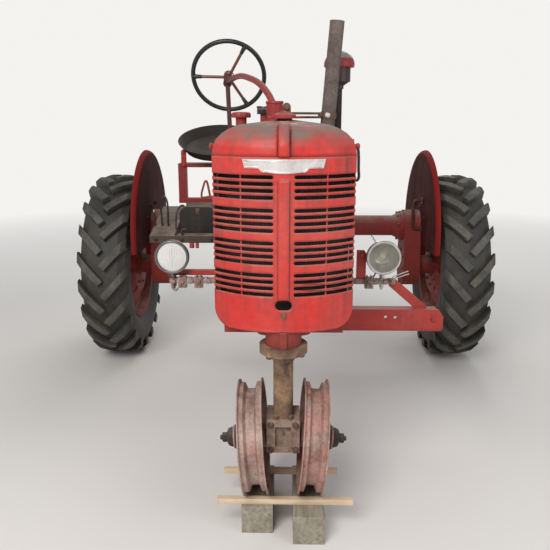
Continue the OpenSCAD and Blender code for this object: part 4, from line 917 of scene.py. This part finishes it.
class TRACTOR_OT_front_hubs(bpy.types.Operator):
    """Makes the front hubs' caps and wheel bolts, the rims' clips and the knuckle's fittings"""

    bl_idname = "tractor.front_hubs"
    bl_label = "Front hubs"

    def execute(self, context):
        for side in ("left", "right"):
            body = "front_rim_" + side
            centre, out = joint_line(body + "_spin")
            if (out.x > 0) != (side == "left"):
                out = -out
            place = facing(centre, out)

            with piece(f"front_hub_{side}", "hub", "rusty_iron", 35, body) as bm:
                add_turned(bm, place, [(40.5, 48), (46, 50), (46, 62), (41.5, 66), (40.5, 66)])
                add_turned(bm, place, [(26.5, 78), (34.5, 72.5), (35, 78), (30, 90), (22, 94),
                                       (0, 95)])
                for wheel_bolt in ring_places(centre - out * 8 * MM, out, 60, 5, 0.5):
                    add_bolt(bm, wheel_bolt, 21, 6)
                add_bolt(bm, facing(centre + out * 94 * MM, out, 0.3), 30, 8, washer=False)

            with piece(f"rim_clip_{side}", "iron", "rusty_iron", 50, body) as bm:
                turned = place @ Matrix.Rotation(2.2, 4, "Z")
                foot, tip = turned @ Vector((0.158, 0, 0.012)), turned @ Vector((0.146, 0, 0.040))
                add_rod(bm, 3.6, [foot, (foot + tip) / 2, tip], samples=2)

        with piece("knuckle_fittings", "iron", "rusty_iron", 35, "steered_front") as bm:
            for x in (-42, 42):
                for z in (300, 392):
                    add_bolt(bm, aimed(x, 1848, z, AHEAD, 0.3), 17)
            for x in (-24, 24):
                add_bolt(bm, aimed(x, 1834, 409.5, UP, 0.2), 19)
                add_bolt(bm, aimed(x, 1756, 409.5, UP, 0.9), 19)
            add_rod(bm, 4, [(0, 1818, 352), (0, 1832, 352), (0, 1838, 356)], samples=3)
        return {"FINISHED"}


PLATE_TOP = 1295
PLATE_BOW = 325.4
RIVET_BOW = 321.4


def bowed(x, radius):
    """Place of a bowed surface beside its middle, negative towards the rear."""
    return math.sqrt(radius ** 2 - x ** 2) - radius


class TRACTOR_OT_grille_trim(bpy.types.Operator):
    """Makes the hood's catches and hooks, and the rivets and border of the blank plate"""

    bl_idname = "tractor.grille_trim"
    bl_label = "Grille trim"

    def execute(self, context):
        with piece("hood_catches", "caps", "worn_steel", 40) as bm:
            for s in (-1, 1):
                x = s * 233.5
                add_block(bm, (x - 1.5, 1640, 1272), (x + 2.5, 1618, 1342), 0.8)
                add_turned(bm, aimed(x + s * 2, 1629, 1318, (s, 0, 0)), [
                    (0, 0), (7, 0), (6, 6), (10.5, 10), (11.5, 16), (8, 21), (0, 22)], 20)

        with piece("catch_hooks", "black", "dark_metal", 50) as bm:
            add_rod(bm, 5, [
                (237, 1629, 1322), (250, 1629, 1312), (254, 1628, 1280), (255, 1627, 1240),
                (257, 1625, 1216), (252, 1624, 1203), (243, 1624, 1204)], samples=5)
            add_rod(bm, 4, [(-237, 1629, 1302), (-242, 1629, 1290), (-238, 1628, 1276)], samples=5)

        with piece("plate_rivets", "plate", "worn_steel", 60) as bm:
            for x, z in ((-119, 1277), (119, 1277), (-62, 1252), (62, 1252)):
                place = aimed(x, 1874.5 + bowed(x, RIVET_BOW), z, (x * 1.2, -320, 0))
                add_turned(bm, place, [(4.2, 0), (3.6, 1.6), (2, 2.5), (0, 2.8)], 12)

        with piece("plate_border", "plate", "worn_steel", 60) as bm:
            half = [(124, 11), (118, 30), (76, 30), (67, 40), (16, 46)]
            corners = [(0, 11)] + half + [(-x, drop) for x, drop in reversed(half)] + [(0, 11)]
            points = []
            for (x0, drop0), (x1, drop1) in zip(corners, corners[1:]):
                for k in range(8):
                    x, drop = x0 + (x1 - x0) * k / 8, drop0 + (drop1 - drop0) * k / 8
                    points.append(at(x, 1874.2 + bowed(x, PLATE_BOW), PLATE_TOP - drop))
            add_rod(bm, 2, points + points[:1], 6, 1)
        return {"FINISHED"}


class TRACTOR_OT_caps(bpy.types.Operator):
    """Makes the lugs, wings and knurls of the filler caps and the knob beside the stack"""

    bl_idname = "tractor.caps"
    bl_label = "Caps"

    def execute(self, context):
        with piece("radiator_cap_lugs", "caps", "bright_paint", 40) as bm:
            for x in (-47, 47):
                add_block(bm, (x - 9, 1648, 1411), (x + 9, 1632, 1417), 1.5)
            add_turned(bm, aimed(0, 1640, 1430, UP), [(0, 0), (15, 0), (13, 4), (0, 5)], 24)

        with piece("wing_cap", "black", "dark_metal", 40) as bm:
            place = aimed(-88, 1150, 1448, UP)
            add_turned(bm, place, [
                (25.5, -22), (26.5, -20), (26.5, -3), (22, 1), (10, 3), (9, 8), (0, 9)], 28)
            for turn in (-math.pi / 2 + 0.35, math.pi / 2 + 0.35):
                add_block(bm, (-3.5, 6, 0), (3.5, 28, 10), 1.5,
                          place @ Matrix.Rotation(turn, 4, "Z"))

        with piece("fuel_cap_skirt", "caps", "bright_paint", 40) as bm:
            place = aimed(-176, 1200, 1432, UP)
            add_turned(bm, place, [
                (36.2, -19), (37.5, -17), (37.5, -4), (34, 0.5), (20, 3), (6, 3.5), (0, 3.5)], 36)
            for k in range(12):
                add_block(bm, (36.6, -3, -18), (39, 3, -4), 0.8,
                          place @ Matrix.Rotation(math.tau * k / 12, 4, "Z"))

        with piece("stack_knob", "knob", "black_plastic", 60) as bm:
            add_turned(bm, aimed(176, 1096, 1413, (0.1, -0.5, 1)), [
                (0, 0), (6, 0), (10.5, 5), (11.5, 11), (9, 18), (0, 20.5)], 24)

        with piece("stack_knob_stem", "iron", "rusty_iron", 60) as bm:
            add_rod(bm, 3, [(174, 1090, 1374), (175, 1092, 1395), (176, 1096, 1415)], samples=3)
        return {"FINISHED"}


class TRACTOR_OT_column(bpy.types.Operator):
    """Makes the steering tube with smooth bends, its socket, bearing head and post"""

    bl_idname = "tractor.column"
    bl_label = "Steering column"

    def execute(self, context):
        with piece("steering_tube_and_post", "column", "dull_paint", 40) as bm:
            # The socket's lower edge follows the hood.
            socket = at(-40, 1270, 1408)
            cup = bmesh.new()
            add_turned(cup, Matrix.Translation(socket), [
                (0, -10), (32, -10), (32, 56), (34.5, 58), (35, 64), (33, 67), (20, 67),
                (16.5, 63), (0, 63)], 40)
            for vert in cup.verts:
                if vert.co.z < socket.z - 5 * MM:
                    vert.co = seated(vert.co, UP)
            placed(bm, cup)
            add_rod(bm, 13.5, [
                (-310, 281.5, 1593.5), (-293, 350, 1600), (-240, 560, 1607), (-197, 750, 1599),
                (-150, 950, 1577), (-118, 1068, 1558), (-88, 1160, 1531), (-62, 1226, 1496),
                (-45, 1260, 1458), (-40, 1270, 1440)], 20, 8)
            add_turned(bm, facing(WHEEL_HUB - WHEEL_OUT * 94.3 * MM, WHEEL_OUT), [
                (0, 0), (21, 0), (23, 2), (23, 68), (21, 70), (11.3, 70), (11.3, 20), (0, 20)], 36)
            add_turned(bm, Matrix.Translation(at(-280, 300, 790.3)), [
                (0, 0), (28, 0), (30, 2), (30, 14), (28, 16), (16, 16.5), (13, 20), (0, 20)])
            add_rod(bm, 12, [(-280, 300, 798.3), (-295, 289.75, 1184.45), (-310, 279.5, 1578.6)],
                    16, 2)
        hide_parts("steering_column")
        return {"FINISHED"}


WHEEL_TILT = math.radians(-63)
SEAT_TILT = math.radians(20)


class TRACTOR_OT_cockpit(bpy.types.Operator):
    """Makes the brackets, loops and rods round the driver's place"""

    bl_idname = "tractor.cockpit"
    bl_label = "Driver's place"

    def execute(self, context):
        with piece("loop_bracket", "control", "bright_paint", 50) as bm:
            add_rod(bm, 5.5, [
                (-380, 600, 1024), (-424, 600, 1022), (-409, 600, 1088), (-401, 600, 1101),
                (-393, 600, 1092), (-380, 600, 1024)], samples=3)
            add_rod(bm, 6, [(-380, 600, 1024), (-330, 640, 1020), (-220, 780, 1014),
                            (-104, 850, 1012)])
            add_turned(bm, aimed(-105, 850, 1012, (-1, 0, 0.1)), [
                (0, 0), (14, 0), (14, 6), (0, 6)], 16)

        with piece("post_ear", "carrier", "bright_paint", 40) as bm:
            add_eye(bm, aimed(-617, -90, 1140, AHEAD), 16, -16, 70, 5)
            add_bolt(bm, aimed(-617, -85, 1132, AHEAD), 17)
            add_bolt(bm, aimed(-617, -85, 1208, AHEAD), 15)

        with piece("loop_pedal_and_rods", "black", "dark_metal", 60) as bm:
            for radius, points in (
                    (5.5, ((-688, 300, 819), (-691, 300, 900), (-689, 299, 955), (-672, 298, 988),
                           (-656, 299, 955), (-654, 300, 900), (-655, 300, 819))),
                    (4.5, ((-728, 300, 819), (-727, 300, 860), (-731, 300, 904))),
                    (5.0, ((-592, 388, 789), (-599, 374, 850), (-593, 362, 908), (-576, 340, 940),
                           (-556, 330, 940))),
                    (4.0, ((-556, 428, 788), (-561, 430, 812), (-547, 430, 827),
                           (-530, 428, 820)))):
                add_rod(bm, radius, points)

        with piece("rod_tip", "steel", "worn_steel", 60) as bm:
            add_turned(bm, aimed(-731, 300, 896, (-0.1, 0, 1)), [
                (0, 0), (5.2, 0), (7, 4), (7, 12), (4.5, 18), (0, 19)], 16)

        with piece("lip_brackets", "carrier", "bright_paint", 40) as bm:
            for x, wide in ((-519, 26), (-486, 18)):
                add_block(bm, (x, 436, 722), (x + wide, 424, 753), 3)
                add_bolt(bm, aimed(x + wide / 2, 436, 736, AHEAD), 14)

        with piece("box_clasp", "iron", "rusty_iron", 40) as bm:
            add_block(bm, (-493, 353.5, 896), (-471, 349.5, 930), 1.5)
            add_turned(bm, aimed(-482, 353, 912, AHEAD), [
                (0, 0), (6, 0), (6, 9), (4, 12), (0, 12)], 16)
            for x in (-560, -404):
                add_rod(bm, 5, [(x - 14, 150, 928), (x + 14, 150, 928)], samples=1)

        with piece("steering_nut", "iron", "rusty_iron", 40, "steering_wheel") as bm:
            add_turned(bm, facing(WHEEL_HUB + WHEEL_OUT * 10 * MM, WHEEL_OUT), [
                (26.2, -4), (27.5, -2), (27.5, 4), (26.2, 6)], 28)
            add_bolt(bm, facing(WHEEL_HUB + WHEEL_OUT * 16 * MM, WHEEL_OUT, 0.2), 30, 5)

        # Moulded ends of the spokes, where they enter the rim.
        with piece("spoke_sleeves", "black", "black_plastic", 50, "steering_wheel") as bm:
            wheel = Matrix.Translation(WHEEL_HUB) @ Matrix.Rotation(WHEEL_TILT, 4, "X")
            for turn in (180, 300, 60):
                spoke = wheel @ Matrix.Rotation(math.radians(turn), 4, "Z")
                add_turned(bm, facing(spoke @ Vector((0.146, 0, -0.0027)),
                                      spoke.to_3x3() @ Vector((171, 0, 10))), [
                    (8.2, 0), (10, 2), (11.2, 24), (15, 47), (8.2, 47)], 20)

        with piece("seat_bolts", "steel", "worn_steel", 40) as bm:
            tilt = Vector((0, -math.sin(SEAT_TILT), math.cos(SEAT_TILT)))
            for place in ring_places(at(-410, -130, 1285) - tilt * 88 * MM, tilt, 26, 4, 0.4):
                add_bolt(bm, on_surface(place.translation, tilt, 0), 16)

        with piece("fender_handle", "column", "dull_paint", 50) as bm:
            add_rod(bm, 9.5, [
                (801, 100, 942), (765, 100, 942), (751, 100, 932), (748, 100, 900),
                (748, 100, 820), (751, 100, 786), (765, 100, 776), (801, 100, 776)], 10)
            for z in (942, 776):
                add_band(bm, aimed(800, 100, z, RIGHT), 8, 20, 5, 20)
        return {"FINISHED"}


PLUG_TILT = math.radians(70)
PLUGS = [(-101, 1360 - 155 * k, 1015) for k in range(4)]
STACK_LEAN = math.radians(4.5)


class TRACTOR_OT_engine_lines(bpy.types.Operator):
    """Makes the ignition leads, coil, fuel line, hose bands and the stack's straps"""

    bl_idname = "tractor.engine_lines"
    bl_label = "Engine lines"

    def execute(self, context):
        plug_way = Vector((-math.sin(PLUG_TILT), 0, math.cos(PLUG_TILT)))
        cap = at(-169, 1250, 930)

        with piece("ignition_leads", "black", "black_plastic", 60) as bm:
            for plug, turn in zip(PLUGS, (225, 315, 45, 135)):
                turn = math.radians(turn)
                tower = cap + 24 * MM * Vector((math.cos(turn), math.sin(turn), 0))
                end = at(*plug) + plug_way * 64 * MM
                crest = Vector((-0.196, (tower.y + end.y) / 2, 1.040))
                add_rod(bm, 3.6, [tower, tower + Vector((-0.004, 0, 0.042)), crest,
                                  end + Vector((-0.017, 0, 0.020)), end])
                add_turned(bm, facing(end - plug_way * 4 * MM, plug_way), [
                    (0, 0), (6.2, 0), (6.2, 16), (4.8, 20), (0, 20)], 14)
            add_rod(bm, 3.6, [cap, cap + Vector((-0.002, 0.002, 0.046)), (-164, 1216, 978),
                              (-156, 1196, 952), (-156, 1188, 930)])

        with piece("plug_insulators", "knob", "black_plastic", 60) as bm:
            for plug in PLUGS:
                add_turned(bm, aimed(*plug, plug_way), [
                    (7.7, 27), (9.6, 28), (9, 50), (7.7, 51)], 18)

        with piece("ignition_coil", "black", "dark_metal", 40) as bm:
            add_turned(bm, aimed(-156, 1102, 930, AHEAD), [
                (0, 0), (24, 0), (26, 3), (26, 70), (23, 74), (12, 76), (9, 90), (6, 92),
                (0, 92)], 28)
            for station in (1115, 1150):
                add_band(bm, aimed(-156, station, 930, AHEAD), 25.8, 27.2, 10, 28)
            add_block(bm, (-132, 1165, 915), (-124.8, 1110, 945), 1)

        with piece("fuel_line", "steel", "worn_steel", 50) as bm:
            add_rod(bm, 4, [
                (80, 760, 1150), (84, 768, 1128), (110, 800, 1110), (200, 880, 1050),
                (214, 960, 960), (206, 1060, 880), (188, 1110, 820), (184, 1130, 790)])
            add_turned(bm, aimed(80, 760, 1138, UP), [
                (0, 70), (20, 70), (20, 56), (12, 52), (12, 0), (0, 0)], 24)

        with piece("fuel_bowl", "bulb", "lens_glass", 50) as bm:
            add_turned(bm, aimed(80, 760, 1153.6, UP), [
                (0, 0), (17, 0), (20, 4), (21, 40), (0, 40)], 24)

        with piece("hose_bands", "steel", "worn_steel", 50) as bm:
            for station in (1592, 1412):
                add_band(bm, aimed(0, station - 13, 1277, AHEAD), 20.8, 22.8, 13, 32)
                add_block(bm, (-8, station, 1299), (8, station - 12, 1308), 1)

        # Flat straps from a bracket on the hood back to the stack, with a ring round it.
        with piece("stack_straps", "iron", "rusty_iron", 40) as bm:
            for z, station in ((1414, 1162), (1430, 1140)):
                start = at(14, station, z)
                way = at(160, 990, z + 2) - start
                turn = Matrix.Rotation(math.atan2(way.y, way.x), 4, "Z")
                add_block(bm, (0, -2.5, -5), (way.length / MM, 2.5, 5), 1,
                          Matrix.Translation(start) @ turn)
            add_band(bm, aimed(187.6, 970, 1408, (math.sin(STACK_LEAN), 0, 1)), 31.1, 34.5, 28, 36)
            add_bolt(bm, aimed(152, 992, 1424, AHEAD), 15)

        with piece("hood_stay", "iron", "rusty_iron", 40) as bm:
            add_eye(bm, aimed(7, 1150, 1407, AHEAD), 17, -6, 48, 6)
            add_bolt(bm, aimed(7, 1156, 1452, AHEAD), 17)
        return {"FINISHED"}


class TRACTOR_OT_bar_fittings(bpy.types.Operator):
    """Makes the clamps, hooks and loose wires on the lamp bars"""

    bl_idname = "tractor.bar_fittings"
    bl_label = "Lamp bar fittings"

    def execute(self, context):
        with piece("bar_clamps", "bar", "rusty_iron", 40) as bm:
            for x in (-396, -470, 388):
                for leg in (x - 9, x + 9):
                    add_rod(bm, 3.8, [(leg, 1012, 660), (leg, 1004, 662), (leg, 1003, 690),
                                      (leg, 1000, 703), (leg, 984, 706), (leg, 969, 703)])
                add_bolt(bm, on_surface(at(x, 1002, 682), AHEAD, x), 18)
            add_rod(bm, 5.5, [(-517, 996, 690), (-518, 1001, 672), (-513, 1008, 650),
                              (-500, 1010, 641), (-489, 1006, 650)])
            for x, turn in ((-512, 0.2), (-430, 0.9), (-350, 0.4), (420, 0.1), (462, 0.7),
                            (495, 0.4)):
                add_bolt(bm, on_surface(at(x, 996, 682), AHEAD, turn), 20)

        with piece("bar_wire", "knob", "worn_steel", 60) as bm:
            square = ((13.5, -13.5), (13.5, 13.5), (-13.5, 13.5), (-13.5, -13.5))
            for start, turns in ((-446, 3), (-366, 2), (404, 2)):
                corners = [square[k % 4] for k in range(turns * 4 + 1)]
                add_rod(bm, 1.6, [(start + k * 1.4, 984 + side, 682 + up)
                                  for k, (side, up) in enumerate(corners)], 6, 2)

        with piece("loose_wires", "knob", "worn_steel", 60) as bm:
            add_rod(bm, 2.6, [(494, 984, 694), (498, 990, 704), (520, 998, 716), (548, 1002, 729),
                              (563, 1001, 734)], 6)
            add_rod(bm, 2.6, [(500, 990, 690), (507, 997, 702), (530, 1004, 708),
                              (552, 1006, 718), (566, 1004, 721)], 6)

        with piece("lamp_twist", "iron", "rusty_iron", 60) as bm:
            add_rod(bm, 1.7, [
                (410 - k * 1.3 + 3 * math.cos(math.tau * k / 6),
                 1022 + 3 * math.sin(math.tau * k / 6), 868 + 2 * k) for k in range(19)], 6, 2)

        with piece("lamp_wiring", "black", "black_plastic", 60) as bm:
            y, z = LAMP_STATION, LAMP_Z
            for side, x in LAMP_SIDES.items():
                inner = -150 if side == "right" else 150
                add_rod(bm, sizes().wire / 2 / MM, [
                    (x, y - 99, z), (x, y - 118, z - 12), (x * 0.97, y - 108, z - 70),
                    (x * 0.90, y - 64, 693), (x * 0.7, y - 63, 688), (inner * 1.4, y - 63, 690),
                    (inner, y - 62, 690)])

        with piece("bar_upright", "carrier", "bright_paint", 40) as bm:
            add_plate(bm, aimed(350, 984, 694, AHEAD), [
                (-22, -2), (22, -2), (22, 118), (12, 134), (-22, 134)], 6)
            add_bolt(bm, aimed(352, 990, 806, AHEAD), 17)
        return {"FINISHED"}


OPERATORS = [TRACTOR_OT_finishes, TRACTOR_OT_camera, TRACTOR_OT_stage, TRACTOR_OT_lamps,
             TRACTOR_OT_bolts, TRACTOR_OT_front_hubs, TRACTOR_OT_grille_trim, TRACTOR_OT_caps,
             TRACTOR_OT_column, TRACTOR_OT_cockpit, TRACTOR_OT_engine_lines,
             TRACTOR_OT_bar_fittings]


class TRACTOR_PT_panel(bpy.types.Panel):
    """Lists the tractor's colours, sizes and pieces"""

    bl_label = "Tractor"
    bl_idname = "TRACTOR_PT_panel"
    bl_space_type = "VIEW_3D"
    bl_region_type = "UI"
    bl_category = "Tractor"

    def draw(self, context):
        for group in (colours(), sizes()):
            for key in group.bl_rna.properties.keys():
                if key not in ("rna_type", "name"):
                    self.layout.prop(group, key)
        for operator in OPERATORS:
            self.layout.operator(operator.bl_idname)


CLASSES = [TractorColours, TractorSizes] + OPERATORS + [TRACTOR_PT_panel]


def register():
    for cls in CLASSES:
        bpy.utils.register_class(cls)
    bpy.types.Scene.tractor_colours = bpy.props.PointerProperty(type=TractorColours)
    bpy.types.Scene.tractor_sizes = bpy.props.PointerProperty(type=TractorSizes)


def unregister():
    del bpy.types.Scene.tractor_sizes
    del bpy.types.Scene.tractor_colours
    for cls in reversed(CLASSES):
        bpy.utils.unregister_class(cls)


def main():
    register()
    for step in ("finishes", "camera", "stage", "lamps", "bolts", "front_hubs", "grille_trim",
                 "caps", "column", "cockpit", "engine_lines", "bar_fittings"):
        getattr(bpy.ops.tractor, step)()
    bpy.context.view_layer.update()


if __name__ == "__main__":
    main()
